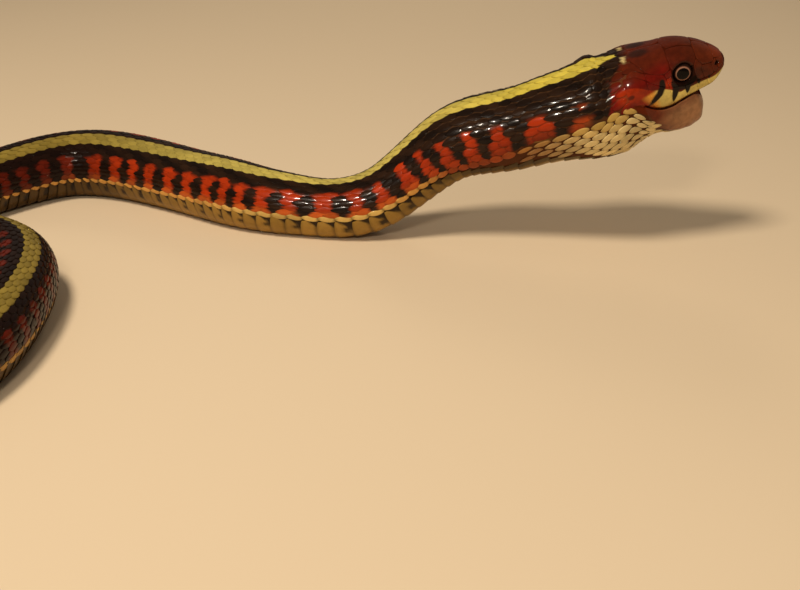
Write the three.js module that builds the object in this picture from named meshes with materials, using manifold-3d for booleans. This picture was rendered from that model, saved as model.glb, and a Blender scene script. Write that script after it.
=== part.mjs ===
// A young red-sided garter snake at life size, lying in bends on the floor with its neck and
// head raised and its mouth open. Millimetres, +Z up, the head points along +X.
//
// The body is one long loft: rings of points set square to a route that is laid on the floor.
// The head has a frame of its own at the collar, where the route starts: x forward, y to the
// snake's left, z up from the middle of the neck.

import * as THREE from 'three';
import { mergeVertices } from 'three/addons/utils/BufferGeometryUtils.js';
import Module from 'manifold-3d';

const wasm = await Module();
wasm.setup();

// Driving sizes of the body

const CUT = 0.3;              // width of the cut between two lengths
const PRESS = 0.07;           // part of the half height that the belly is pressed flat by
const BREADTH = 1.02;         // width of the body over its height
const BACK_POWER = 2.0;       // roundness of the back: 2 is a circle
const BELLY_POWER = 2.5;      // the belly is a little squarer
const ROUTE_STEP = 0.1;       // spacing of the points that the route is measured in
const ROUTE_EASE = 26;        // points on either side that each point of the route is eased over

const VENT = 158;             // from the collar to the vent, where the tail starts
const NECK_END = 21.5;        // from the collar to the end of the raised neck
const BODY_LENGTHS = 10;
const TAIL_LENGTHS = 4;

// Belly scutes: broad plates, each lifted at its rear edge over the next one

const SCUTE_PITCH = 2.12;     // every second scute of the real snake
const SCUTE_STEP = 0.12;      // length of the drop behind a scute
const SCUTE_RISE = 0.13;      // height of the rear edge on the thickest part of the body
const SCUTE_VARIES = 0.08;    // share by which pitch and rise differ from scute to scute
const THICKEST = 3.1;         // half height where the scutes have their full rise
const SLIM = 1.2;             // half height under which the scutes get shorter
const SCUTE_SEED = 1907;

// Angles round a ring, in degrees from the middle of the back. The scutes lie between the
// last pair on one side and the same on the other, and their edge is the step of 4 degrees.
const BACK_ANGLES = [0, 18, 36, 54, 72, 90, 108, 127];
const SCUTE_ANGLES = [131, 147, 163];

// Where the body lies: plan x and y, and how high the belly is lifted off the floor. The first
// point is inside the head, the second is the collar, the last is near the tip of the tail.
const ROUTE = [
  [25.06, -1.48, 11.12], [21.62, -0.52, 7.78], [17.42, -0.58, 7.51], [12.58, 0.35, 5.98],
  [9.31, 0.4, 5.79], [6.6, 0.65, 3.92], [4.31, 0.35, 2.2], [2.1, 0.35, 0.48],
  [0, 0.2, 0], [-2.5, 0.65, 0], [-7.9, 2.1, 0], [-15.6, 7.1, 0],
  [-22, 10.67, 0], [-27, 11.14, 0], [-32.2, 6.61, 0], [-35.8, 0.4, 0],
  [-34.2, -6.4, 0], [-28.7, -8.8, 0], [-24.9, -11.2, 0], [-23.3, -15.2, 0],
  [-22.7, -20.5, 0], [-23.4, -27.5, 0], [-27.6, -34.5, 0], [-35.5, -37.5, 0],
  [-43, -34, 0], [-47, -26.5, 0], [-47.5, -17, 0], [-50.5, -8, 0],
  [-58, -2, 0], [-64, 6, 0], [-62.5, 15.5, 0], [-54.5, 20.5, 0],
  [-46, 22.5, 0], [-41, 27, 0],
];

// Half height of the body at each distance behind the collar. The throat is swollen, as in a
// snake that swallows something thick.
const GIRTH = [
  [0, 3.95], [2, 3.88], [4, 3.6], [6.5, 3.36], [9, 3.3], [12, 3.12],
  [15, 2.78], [19, 2.55], [22.5, 2.54], [26, 2.46], [30, 2.66], [34, 2.86],
  [39, 2.88], [44, 2.96], [50, 3.04], [56, 2.88], [62, 2.7], [75, 2.8],
  [95, 2.55], [120, 2.35], [150, 1.95], [160, 1.65], [175, 1.25], [195, 0.65],
  [209, 0.2],
];

// Swelling of the jaw muscles behind the skull, on both sides of the back
const NAPE = { s: 1.6, ahead: 1.2, behind: 0.6, angle: 26, spread: 15, rise: 0.42 };
const NAPE_END = 4;

// How far the back leans towards the snake's right side, in degrees
const ROLL = [
  [0, 11], [5, 13.8], [10, 16], [14, 12], [18, 8], [24, 4],
  [32, 10], [45, 22], [58, 24], [105, 20], [125, 0], [209, 0],
];

// Driving sizes of the head, in the head's own frame

const SNOUT = 9.4;            // from the collar to the tip of the snout
const BLUNT = 1.75;           // length over which the snout rounds off
const CORNER = 2;             // corner of the mouth, measured from the collar
const CROWN = [
  [0, 3.95], [1.4, 3.86], [2.4, 3.8], [3.4, 3.7], [4.4, 3.56], [5.4, 3.5],
  [6.4, 3.2], [7.2, 2.76], [8.2, 2.1], [9.4, 1.45],
];
const CHEEK = [
  [0, 4.03], [1.3, 3.78], [2, 3.55], [3, 3.12], [4, 2.72], [5, 2.4],
  [6, 2.15], [7, 1.9], [8, 1.66], [9.4, 1.35],
];
const CHEEK_HEIGHT = [[0, 0], [2, 1.25], [4, 1.1], [6, 1.15], [8, 0.75], [9.4, 0.35]];
const LIP = [
  [0, 1], [1.7, 0.8], [2.2, 0.36], [2.9, -0.28], [3.5, -0.66], [4.3, -0.9], [5.4, -0.84],
  [6.4, -0.78], [7.3, -0.76], [8.4, -0.65], [9.4, -0.42],
];
const THROAT = [[0, -3.93], [1, -3.68], [2, -3.52]];
const LABIALS = 7;            // lip plates on each side
const LABIAL_RISE = 0.07;
const LABIAL_GROOVE = 0.1;
const LIP_THICK = 0.36;
const PALATE_RISE = 0.75;     // height of the hollow of the palate over the lips

const EYE = { x: 5.83, z: 1.28, side: 1.86, across: 0.74, out: 0.5 };
const SOCKET_GAP = 0.15;
const NOSTRIL = { x: 8.55, z: 0.66, side: 1.22, radius: 0.17 };

// Lower jaw: lip point, bottom point and half width at stations from the corner to the chin
const JAW = [
  { lip: [2.3, -0.02], bottom: [2.3, -3.54], half: 3.5 },
  { lip: [3.2, -0.54], bottom: [3.1, -3.6], half: 3.12 },
  { lip: [4.1, -0.96], bottom: [3.95, -3.82], half: 2.7 },
  { lip: [5, -1.18], bottom: [4.8, -4.04], half: 2.3 },
  { lip: [5.75, -1.28], bottom: [5.6, -4.06], half: 1.92 },
  { lip: [6.4, -1.46], bottom: [6.28, -3.74], half: 1.5 },
  { lip: [6.84, -1.86], bottom: [6.76, -3.1], half: 0.9 },
];
const JAW_FLOOR = 0.4;        // depth of the floor of the mouth under the lower lips

const rad = THREE.MathUtils.degToRad;

// A smooth line through [position, value] rows
function profile(rows, at) {
  const x = THREE.MathUtils.clamp(at, rows[0][0], rows[rows.length - 1][0]);
  let i = 0;
  while (i < rows.length - 2 && x > rows[i + 1][0]) i += 1;
  const step = rows[i + 1][0] - rows[i][0];
  const t = (x - rows[i][0]) / step;
  const rise = rows[i + 1][1] - rows[i][1];
  const a = slopeAt(rows, i) * step - rise;
  const b = rise - slopeAt(rows, i + 1) * step;
  return rows[i][1] + rise * t + t * (1 - t) * (a * (1 - t) + b * t);
}

function slopeAt(rows, i) {
  if (i === 0) return slope(rows[0], rows[1]);
  if (i === rows.length - 1) return slope(rows[i - 1], rows[i]);
  const before = rows[i][0] - rows[i - 1][0];
  const after = rows[i + 1][0] - rows[i][0];
  const weighted = after * slope(rows[i - 1], rows[i]) + before * slope(rows[i], rows[i + 1]);
  return weighted / (before + after);
}

function slope(a, b) {
  return (b[1] - a[1]) / (b[0] - a[0]);
}

// Rounds an outline off to nothing over its last stretch, like the end of an egg
function blunt(x, end, length) {
  const t = THREE.MathUtils.clamp((x - (end - length)) / length, 0, 1);
  return Math.sqrt(1 - t * t);
}

// Sine and cosine of a squared-off circle
function squared(angle, power) {
  const sine = Math.sin(angle);
  const cosine = Math.cos(angle);
  return {
    side: Math.sign(sine) * Math.abs(sine) ** (2 / power),
    rise: Math.sign(cosine) * Math.abs(cosine) ** (2 / power),
  };
}

function seeded(seed) {
  let state = seed;
  return () => {
    state = (state * 1664525 + 1013904223) % 4294967296;
    return state / 4294967296;
  };
}

// The route: a curve through its points, measured in even steps and then eased, because a
// spine has no sharp bends
function layRoute() {
  const points = ROUTE.map(([x, y, lift]) => new THREE.Vector3(x, y, lift));
  const curve = new THREE.CatmullRomCurve3(points, false, 'centripetal');
  const even = evenSteps(curve.getPoints(60 * (points.length - 1)), ROUTE_STEP);
  const eased = even.map((point, i) => {
    const reach = Math.min(ROUTE_EASE, i, even.length - 1 - i);
    const sum = new THREE.Vector3();
    for (let k = i - reach; k <= i + reach; k += 1) sum.add(even[k]);
    return sum.divideScalar(2 * reach + 1);
  });
  const route = evenSteps(eased, ROUTE_STEP);
  const collar = points[1];
  let start = 0;
  route.forEach((point, i) => {
    if (point.distanceTo(collar) < route[start].distanceTo(collar)) start = i;
  });
  return { points: route, start };
}

function evenSteps(points, step) {
  const out = [points[0].clone()];
  let left = step;
  for (let i = 1; i < points.length; i += 1) {
    const from = points[i - 1].clone();
    let length = from.distanceTo(points[i]);
    while (length >= left) {
      from.lerp(points[i], left / length);
      length -= left;
      left = step;
      out.push(from.clone());
    }
    left -= length;
  }
  return out;
}

const route = layRoute();
const TAIL_TIP = (route.points.length - 1 - route.start) * ROUTE_STEP;

function routeAt(s) {
  const place = THREE.MathUtils.clamp(s / ROUTE_STEP + route.start, 0, route.points.length - 1);
  const i = Math.min(Math.floor(place), route.points.length - 2);
  return route.points[i].clone().lerp(route.points[i + 1], place - i);
}

// Middle of the body at a distance s behind the collar
function middleAt(s) {
  const point = routeAt(s);
  point.z = Math.max(point.z, 0) + profile(GIRTH, s) * (1 - PRESS);
  return point;
}

// Middle, forward, left and up at a distance s behind the collar
function frameAt(s) {
  const reach = 0.4;
  const forward = middleAt(s - reach).sub(middleAt(Math.min(s + reach, TAIL_TIP))).normalize();
  const up = new THREE.Vector3(0, 0, 1);
  up.addScaledVector(forward, -up.dot(forward)).normalize();
  const left = new THREE.Vector3().crossVectors(up, forward);
  const roll = rad(profile(ROLL, s));
  up.applyAxisAngle(forward, roll);
  left.applyAxisAngle(forward, roll);
  return { middle: middleAt(s), forward, left, up };
}

function place(frame, x, y, z) {
  return frame.middle.clone()
    .addScaledVector(frame.forward, x)
    .addScaledVector(frame.left, y)
    .addScaledVector(frame.up, z);
}

// How far the nape stands out at an angle from the middle of the back
function napeRise(s, degrees) {
  const along = (s - NAPE.s) / (s < NAPE.s ? NAPE.ahead : NAPE.behind);
  const across = (Math.abs(degrees) - NAPE.angle) / NAPE.spread;
  return NAPE.rise * Math.exp(-along * along - across * across);
}

// One ring round the body, from the middle of the back down the left side and up the right.
// The scutes stand out by the given rise, and nothing goes through the floor.
function bodyRing(s, rise) {
  const half = profile(GIRTH, s);
  const frame = frameAt(s);
  const point = (degrees, lift) => {
    const power = Math.cos(rad(degrees)) > 0 ? BACK_POWER : BELLY_POWER;
    const round = squared(rad(degrees), power);
    const reach = half + lift + napeRise(s, degrees);
    const at = place(frame, 0, BREADTH * reach * round.side, reach * round.rise);
    at.z = Math.max(at.z, 0);
    return at;
  };
  const lift = rise * half / THICKEST;
  const leftBack = BACK_ANGLES.map((angle) => point(angle, 0));
  const leftBelly = SCUTE_ANGLES.map((angle) => point(angle, lift));
  const rightBelly = SCUTE_ANGLES.map((angle) => point(-angle, lift)).reverse();
  const rightBack = BACK_ANGLES.slice(1).map((angle) => point(-angle, 0)).reverse();
  return [...leftBack, ...leftBelly, point(180, lift), ...rightBelly, ...rightBack];
}

// Closed body over a row of rings with the same number of points, from front to rear
function loft(rings) {
  const count = rings[0].length;
  const positions = [];
  const index = [];
  rings.forEach((ring) => ring.forEach((point) => positions.push(...point.toArray())));
  for (let r = 0; r < rings.length - 1; r += 1) {
    for (let k = 0; k < count; k += 1) {
      const a = r * count + k;
      const b = r * count + (k + 1) % count;
      index.push(a, b, a + count, b, b + count, a + count);
    }
  }
  const cap = (ring, first, flip) => {
    const centre = ring.reduce((sum, point) => sum.add(point), new THREE.Vector3());
    centre.divideScalar(count);
    positions.push(...centre.toArray());
    const hub = positions.length / 3 - 1;
    for (let k = 0; k < count; k += 1) {
      const a = first + k;
      const b = first + (k + 1) % count;
      if (flip) index.push(hub, a, b);
      else index.push(hub, b, a);
    }
  };
  cap(rings[0], 0, false);
  cap(rings[rings.length - 1], (rings.length - 1) * count, true);
  const geometry = new THREE.BufferGeometry();
  geometry.setAttribute('position', new THREE.Float32BufferAttribute(positions, 3));
  geometry.setIndex(index);
  return geometry;
}

// Solids for cutting and joining

function toSolid(geometry) {
  const bare = geometry.clone();
  bare.deleteAttribute('normal');
  bare.deleteAttribute('uv');
  const merged = mergeVertices(bare, 1e-4);
  return new wasm.Manifold(new wasm.Mesh({
    numProp: 3,
    vertProperties: Float32Array.from(merged.attributes.position.array),
    triVerts: Uint32Array.from(merged.index.array),
  }));
}

function toGeometry(solid) {
  const pieces = solid.decompose();
  pieces.sort((a, b) => b.volume() - a.volume());
  const mesh = pieces[0].getMesh();
  const geometry = new THREE.BufferGeometry();
  geometry.setAttribute('position', new THREE.Float32BufferAttribute(mesh.vertProperties, 3));
  geometry.setIndex(Array.from(mesh.triVerts));
  return geometry;
}

function material(color, roughness) {
  return new THREE.MeshStandardMaterial({ color, roughness, metalness: 0 });
}

const snake = new THREE.Group();

function addNode(name, geometry, color, roughness) {
  const mesh = new THREE.Mesh(geometry, material(color, roughness));
  mesh.name = name;
  snake.add(mesh);
}

// Lengths of the body and tail

const draw = seeded(SCUTE_SEED);

function varied(size) {
  return size * (1 + SCUTE_VARIES * (2 * draw() - 1));
}

// Rings of one length: a low ring at the front of each scute and a raised one at its rear. The
// nape has a ring between them, because it changes faster than the rest.
function lengthRings(from, to) {
  const rings = [];
  let s = from;
  while (s < to) {
    const slim = THREE.MathUtils.clamp(profile(GIRTH, s) / SLIM, 0.5, 1);
    let rear = s + varied(SCUTE_PITCH) * slim - SCUTE_STEP;
    if (rear > to - SCUTE_PITCH * slim / 2) rear = to;
    const rise = varied(SCUTE_RISE);
    rings.push(bodyRing(s, 0));
    if (s < NAPE_END) rings.push(bodyRing((s + rear) / 2, rise / 2));
    rings.push(bodyRing(rear, rise));
    s = rear + SCUTE_STEP;
  }
  return rings;
}

function addLengths(name, from, to, count, color) {
  for (let i = 0; i < count; i += 1) {
    const start = THREE.MathUtils.lerp(from, to, i / count) + CUT / 2;
    const end = THREE.MathUtils.lerp(from, to, (i + 1) / count) - CUT / 2;
    const title = count > 1 ? `${name}_${i + 1}` : name;
    addNode(title, loft(lengthRings(start, end)), color, 0.35);
  }
}

// Head: rings from the collar to the snout. Each is a list of [y, z] from the middle of the
// crown down the left cheek to the lip, along the palate and up the right cheek.

const CROWN_ANGLES = [15, 30, 45, 60, 75, 90];
const UNDER_ANGLES = [101, 113, 125, 138, 151, 165];

function headHalf(x, labialRise) {
  const whole = x <= CORNER;
  const round = blunt(x, SNOUT, BLUNT);
  const height = profile(CHEEK_HEIGHT, x);
  const width = profile(CHEEK, x) * round;
  const top = height + (profile(CROWN, x) - height) * round;
  const lip = height + (profile(LIP, x) - height) * round;
  const power = THREE.MathUtils.lerp(BACK_POWER, 2.6, THREE.MathUtils.smoothstep(x, 0, 3));
  const crown = CROWN_ANGLES.map((angle) => {
    const at = squared(rad(angle), power);
    const out = 1 + napeRise(-x, angle) / width;
    return [width * at.side * out, height + (top - height) * Math.max(at.rise, 0) * out];
  });
  if (whole) {
    const under = UNDER_ANGLES.map((angle) => {
      const at = squared(rad(angle), BELLY_POWER);
      return [width * at.side, height + (height - profile(THROAT, x)) * at.rise];
    });
    return { top, side: [...crown, ...under], under: profile(THROAT, x) };
  }
  const drop = height - lip;
  const thick = Math.min(LIP_THICK, 0.3 * width);
  const hollow = PALATE_RISE * Math.min(1, drop / 2);
  const side = [
    ...crown,
    [width, height - 0.45 * drop],
    [width + labialRise, height - 0.5 * drop],
    [width + labialRise - 0.04, lip + 0.1 * drop],
    [width - 0.1 * drop, lip],
    [width - thick, lip + 0.06 * drop],
    [width - 1.5 * thick, lip + 0.7 * hollow],
  ];
  return { top, side, under: lip + hollow };
}

function headRing(x, labialRise) {
  const frame = frameAt(0);
  const { top, side, under } = headHalf(x, labialRise);
  const left = side.map(([y, z]) => place(frame, x, y, z));
  const right = side.map(([y, z]) => place(frame, x, -y, z)).reverse();
  return [place(frame, x, 0, top), ...left, place(frame, x, 0, under), ...right];
}

function headLoft() {
  const rings = [CUT / 2, CORNER / 2, CORNER].map((x) => headRing(x, 0));
  const front = SNOUT - 0.35;
  for (let i = 0; i < LABIALS; i += 1) {
    const start = THREE.MathUtils.lerp(CORNER + 0.02, front, i / LABIALS);
    const end = THREE.MathUtils.lerp(CORNER + 0.02, front, (i + 1) / LABIALS);
    rings.push(headRing(start, 0));
    rings.push(headRing(start + LABIAL_GROOVE, LABIAL_RISE));
    rings.push(headRing((start + end) / 2, LABIAL_RISE));
    rings.push(headRing(end - LABIAL_GROOVE, LABIAL_RISE));
  }
  [front, SNOUT - 0.16, SNOUT - 0.04].forEach((x) => rings.push(headRing(x, 0)));
  return loft(rings.reverse());
}

// An egg at a place in the head's frame, its short axis pointing out to the side
function egg(x, y, z, across, out) {
  const frame = frameAt(0);
  const geometry = new THREE.SphereGeometry(1, 20, 14);
  geometry.scale(across, out, across);
  const axes = new THREE.Matrix4().makeBasis(frame.forward, frame.left, frame.up);
  geometry.applyMatrix4(axes);
  const at = place(frame, x, y, z);
  geometry.translate(at.x, at.y, at.z);
  return geometry;
}

function headGeometry() {
  let solid = toSolid(headLoft());
  [1, -1].forEach((side) => {
    const across = EYE.across + SOCKET_GAP;
    const out = EYE.out + SOCKET_GAP;
    const socket = egg(EYE.x, side * EYE.side, EYE.z, across, out);
    const nostril = egg(NOSTRIL.x, side * NOSTRIL.side, NOSTRIL.z, NOSTRIL.radius, 0.5);
    solid = solid.subtract(toSolid(socket)).subtract(toSolid(nostril));
  });
  return toGeometry(solid);
}

// Lower jaw: rings that run from the left lip round under the chin to the right lip and back
// over the floor of the mouth
function jawRing({ lip, bottom, half }) {
  const frame = frameAt(0);
  const at = (y, down) => {
    const x = THREE.MathUtils.lerp(lip[0], bottom[0], down);
    const z = THREE.MathUtils.lerp(lip[1], bottom[1], down);
    return place(frame, x, y, z);
  };
  const under = [];
  for (let angle = 90; angle >= -90; angle -= 15) {
    const round = squared(rad(angle), 2.3);
    under.push(at(half * round.side, Math.max(round.rise, 0)));
  }
  const depth = JAW_FLOOR / (lip[1] - bottom[1]) * Math.min(1, half / 2);
  const floor = [-0.82, -0.66, -0.3, 0.3, 0.66, 0.82].map((share) => {
    const down = Math.abs(share) > 0.8 ? 0.02 : depth;
    return at(half * share, down);
  });
  return [...under, ...floor];
}

addNode('head', headGeometry(), '#6a2216', 0.3);
addNode('lower_jaw', loft(JAW.map(jawRing).reverse()), '#a87562', 0.35);
[['eye_left', 1], ['eye_right', -1]].forEach(([name, side]) => {
  addNode(name, egg(EYE.x, side * EYE.side, EYE.z, EYE.across, EYE.out), '#17100b', 0.08);
});
addLengths('neck', 0, NECK_END, 1, '#2b1b15');
addLengths('body', NECK_END, VENT, BODY_LENGTHS, '#33201a');
addLengths('tail', VENT, TAIL_TIP, TAIL_LENGTHS, '#2c1e18');

// Origin: on the floor, under the middle of the whole snake
snake.updateMatrixWorld(true);
const bounds = new THREE.Box3().setFromObject(snake);
const middle = bounds.getCenter(new THREE.Vector3());
snake.position.set(-middle.x, -middle.y, -bounds.min.z);

export default snake;
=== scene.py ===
# %% [markdown]
# # A young red-sided garter snake in its scales
#
# The solid model gives the true route, girth and head of the snake. This script dresses it:
# one smooth skin over the whole animal, a coat of real overlapping scales on the skin, head
# shields, lip plates, belly plates and glossy eyes. Everything is in metres, and the tables of
# sizes below are in millimetres, because a young garter snake is only as thick as a pencil.

import math

import bpy
import numpy as np
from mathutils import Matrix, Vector


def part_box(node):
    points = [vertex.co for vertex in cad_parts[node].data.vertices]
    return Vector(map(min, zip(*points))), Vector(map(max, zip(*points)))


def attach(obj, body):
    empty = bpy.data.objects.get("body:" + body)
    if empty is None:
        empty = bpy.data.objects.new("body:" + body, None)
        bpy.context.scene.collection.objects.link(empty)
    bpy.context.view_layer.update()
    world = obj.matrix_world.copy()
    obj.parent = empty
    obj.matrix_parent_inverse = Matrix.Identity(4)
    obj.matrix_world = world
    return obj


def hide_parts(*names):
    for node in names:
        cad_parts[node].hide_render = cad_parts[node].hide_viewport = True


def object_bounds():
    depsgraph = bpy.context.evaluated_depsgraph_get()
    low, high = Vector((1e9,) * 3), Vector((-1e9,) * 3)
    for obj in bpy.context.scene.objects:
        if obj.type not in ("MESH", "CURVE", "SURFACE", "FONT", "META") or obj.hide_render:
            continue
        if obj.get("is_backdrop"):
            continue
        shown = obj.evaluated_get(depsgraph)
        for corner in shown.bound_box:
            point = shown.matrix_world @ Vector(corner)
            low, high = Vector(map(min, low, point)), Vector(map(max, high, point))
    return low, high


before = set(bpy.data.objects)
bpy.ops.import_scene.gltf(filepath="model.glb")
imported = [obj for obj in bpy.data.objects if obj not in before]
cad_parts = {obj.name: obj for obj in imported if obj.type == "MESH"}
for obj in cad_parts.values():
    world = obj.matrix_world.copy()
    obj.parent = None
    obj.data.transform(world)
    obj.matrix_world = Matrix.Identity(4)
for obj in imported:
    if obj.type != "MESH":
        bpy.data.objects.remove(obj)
cad_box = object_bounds()
print("nodes of the solid model:", len(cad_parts))

# %% [markdown]
# ## The sizes that the animal is built from
#
# A snake is a tube whose girth changes slowly along a bent spine. So a few short tables say it
# all: where the spine runs over the floor, how thick the body is, and how far the back leans
# over to one side. The same tables carry the solid model, so the skin ends up inside it.

# %% Sizes of the body, in millimetres
MM = 0.001
ROUTE = [             # the spine's place on the floor, and how high the belly is over it
    (25.06, -1.48, 11.12), (21.62, -0.52, 7.78), (17.42, -0.58, 7.51), (12.58, 0.35, 5.98),
    (9.31, 0.4, 5.79), (6.6, 0.65, 3.92), (4.31, 0.35, 2.2), (2.1, 0.35, 0.48),
    (0, 0.2, 0), (-2.5, 0.65, 0), (-7.9, 2.1, 0), (-15.6, 7.1, 0),
    (-22, 10.67, 0), (-27, 11.14, 0), (-32.2, 6.61, 0), (-35.8, 0.4, 0),
    (-34.2, -6.4, 0), (-28.7, -8.8, 0), (-24.9, -11.2, 0), (-23.3, -15.2, 0),
    (-22.7, -20.5, 0), (-23.4, -27.5, 0), (-27.6, -34.5, 0), (-35.5, -37.5, 0),
    (-43, -34, 0), (-47, -26.5, 0), (-47.5, -17, 0), (-50.5, -8, 0),
    (-58, -2, 0), (-64, 6, 0), (-62.5, 15.5, 0), (-54.5, 20.5, 0),
    (-46, 22.5, 0), (-41, 27, 0),
]
COLLAR = 1            # the point of the route where the head ends and lengths are counted from
ROUTE_STEP = 0.1
ROUTE_EASE = 26       # steps on each side that the route is averaged over
CURVE_POINTS = 60     # points of the route between two of its corners
GIRTH = [             # distance behind the collar, and half the thickness there
    (0, 3.95), (2, 3.88), (4, 3.6), (6.5, 3.36), (9, 3.3), (12, 3.12),
    (15, 2.78), (19, 2.55), (22.5, 2.54), (26, 2.46), (30, 2.66), (34, 2.86),
    (39, 2.88), (44, 2.96), (50, 3.04), (56, 2.88), (62, 2.7), (75, 2.8),
    (95, 2.55), (120, 2.35), (150, 1.95), (160, 1.65), (175, 1.25), (195, 0.65),
    (209, 0.2),
]
ROLL = [              # distance behind the collar, and degrees that the back leans to the right
    (0, 11), (5, 13.8), (10, 16), (14, 12), (18, 8), (24, 4),
    (32, 10), (45, 22), (58, 24), (105, 20), (125, 0), (209, 0),
]
PRESS = 0.07          # part of the half height that the belly is pressed flat by
BREADTH = 1.02        # the body's width over its height
BACK_POWER = 2.0      # 2 is a round section, and more is squared off
BELLY_POWER = 2.5
VENT = 158            # from the collar to the vent, where the tail starts
COAT_DEPTH = 0.1      # how deep the skin lies under the outline, to leave room for the scales
FLOOR_GAP = 0.05      # the skin stays this far over the floor, and the plates touch it


# %% Smooth tables, and the route of the spine
def profile(rows, at):
    """A smooth line through (position, value) rows, for one position or an array of them."""
    rows = np.asarray(rows, float)
    x, y = rows[:, 0], rows[:, 1]
    slopes = np.gradient(y, x)
    at = np.clip(at, x[0], x[-1])
    i = np.clip(np.searchsorted(x, at) - 1, 0, len(x) - 2)
    step, rise = x[i + 1] - x[i], y[i + 1] - y[i]
    t = (at - x[i]) / step
    a = slopes[i] * step - rise
    b = rise - slopes[i + 1] * step
    return y[i] + rise * t + t * (1 - t) * (a * (1 - t) + b * t)


def ramp(value, low, high):
    """0 below low, 1 above high, and a soft step between them."""
    t = np.clip((value - low) / (high - low), 0, 1)
    return t * t * (3 - 2 * t)


def hump(*ways):
    """1 in the middle of a form and fading out smoothly: a way is a distance over its reach."""
    return np.exp(-sum(way**2 for way in ways))


def even_steps(points, step):
    """The same line again, with a point at every step of its length."""
    lengths = np.concatenate([[0], np.cumsum(np.linalg.norm(np.diff(points, axis=0), axis=1))])
    at = np.arange(0, lengths[-1], step)
    return np.stack([np.interp(at, lengths, points[:, k]) for k in range(3)], 1)


def spine():
    """Points of the eased route in even steps, and the number of the point at the collar."""
    points = np.array(ROUTE, float)
    padded = np.vstack([2 * points[0] - points[1], points, 2 * points[-1] - points[-2]])
    t = np.linspace(0, 1, CURVE_POINTS, endpoint=False)[:, None]
    pieces = []
    for p0, p1, p2, p3 in zip(padded, padded[1:], padded[2:], padded[3:]):
        d0, d1, d2 = (math.sqrt(np.linalg.norm(b - a)) for a, b in ((p0, p1), (p1, p2), (p2, p3)))
        m1 = d1 * ((p1 - p0) / d0 - (p2 - p0) / (d0 + d1) + (p2 - p1) / d1)
        m2 = d1 * ((p2 - p1) / d1 - (p3 - p1) / (d1 + d2) + (p3 - p2) / d2)
        bend = (2 * t**3 - 3 * t**2 + 1) * p1 + (t**3 - 2 * t**2 + t) * m1
        pieces.append(bend + (3 * t**2 - 2 * t**3) * p2 + (t**3 - t**2) * m2)
    even = even_steps(np.vstack([*pieces, points[-1:]]), ROUTE_STEP)
    sums = np.vstack([np.zeros(3), np.cumsum(even, axis=0)])
    place = np.arange(len(even))
    reach = np.minimum(ROUTE_EASE, np.minimum(place, len(even) - 1 - place))
    eased = (sums[place + reach + 1] - sums[place - reach]) / (2 * reach + 1)[:, None]
    line = even_steps(eased, ROUTE_STEP)
    return line, int(np.argmin(np.linalg.norm(line - points[COLLAR], axis=1)))


SPINE, SPINE_START = spine()
TAIL_TIP = (len(SPINE) - 1 - SPINE_START) * ROUTE_STEP
print("from the collar to the tip of the tail:", round(TAIL_TIP, 1), "mm")


# %% Frames along the body
STEP_ASIDE = 0.4      # the body's direction is taken over this distance to each side


def middle_at(s):
    """Middle of the body at the distances s behind the collar."""
    place = np.clip(np.asarray(s, float) / ROUTE_STEP + SPINE_START, 0, len(SPINE) - 1)
    out = np.stack([np.interp(place, np.arange(len(SPINE)), SPINE[:, k]) for k in range(3)], -1)
    out[..., 2] = np.maximum(out[..., 2], 0) + profile(GIRTH, s) * (1 - PRESS)
    return out


def unit(vectors):
    return vectors / np.linalg.norm(vectors, axis=-1, keepdims=True)


def frames_at(s):
    """Middle, forward, left and up at each distance s behind the collar."""
    s = np.asarray(s, float)
    forward = unit(middle_at(s - STEP_ASIDE) - middle_at(np.minimum(s + STEP_ASIDE, TAIL_TIP)))
    up = np.array([0.0, 0.0, 1.0]) - forward * forward[..., 2:3]
    up = unit(up)
    left = np.cross(up, forward)
    roll = np.radians(profile(ROLL, s))[..., None]
    up, left = np.cos(roll) * up - np.sin(roll) * left, np.cos(roll) * left + np.sin(roll) * up
    return middle_at(s), forward, left, up


HEAD = [part[0] for part in frames_at(np.array([0.0]))]


def head_place(x, y, z):
    """A point of the head: x forward from the collar, y to the snake's left, z up."""
    x, y, z = np.broadcast_arrays(x, y, z)
    return HEAD[0] + x[..., None] * HEAD[1] + y[..., None] * HEAD[2] + z[..., None] * HEAD[3]


def head_local(points):
    """The head's own x, y, z of points."""
    away = points - HEAD[0]
    return away @ HEAD[1], away @ HEAD[2], away @ HEAD[3]


# %% [markdown]
# ## Lining up with the solid model
#
# The tables are counted from a corner of their own, and the solid model stands with its origin
# under its middle. One of its eyes tells how far the two are apart: an eye's middle is known
# in both.

# %% Where the solid model stands
EYE = {"x": 5.83, "z": 1.28, "side": 1.86, "across": 0.74, "out": 0.5}
low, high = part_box("eye_left")
eye_middle = (np.array(low) + np.array(high)) / 2 / MM
SHIFT = eye_middle - head_place(EYE["x"], EYE["side"], EYE["z"])
print("shift to the solid model, mm:", np.round(SHIFT, 3))

# %% [markdown]
# ## The camera, the floor and the light
#
# The camera comes first, so that every test shows the photo's framing: it looks down at the
# snake by 25 degrees with a normal lens. The floor is a plain pale sheet. A scale is as glossy
# as a fingernail, so it is the lamps that make it look like one: one big soft lamp for the
# form, two weak ones in front and behind, and a small hard one that only leaves glints.

# %% Camera and floor
CAMERA = (4.31, -89.03, 35.72)
LOOK_DOWN = 25
LENS = 50
NEAREST = 0.005       # the camera sees nothing that is nearer
FLOOR_SIDE = 1.6
FLOOR_DROP = 0.00002  # the sheet of the floor lies this far under the belly
WARM = (1, 0.9, 0.74)
HAZE = (1, 0.91, 0.77, 1)
HAZE_STRENGTH = 0.16


def clear_selection():
    if bpy.context.object and bpy.context.object.mode != "OBJECT":
        bpy.ops.object.mode_set(mode="OBJECT")
    bpy.ops.object.select_all(action="DESELECT")


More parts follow.
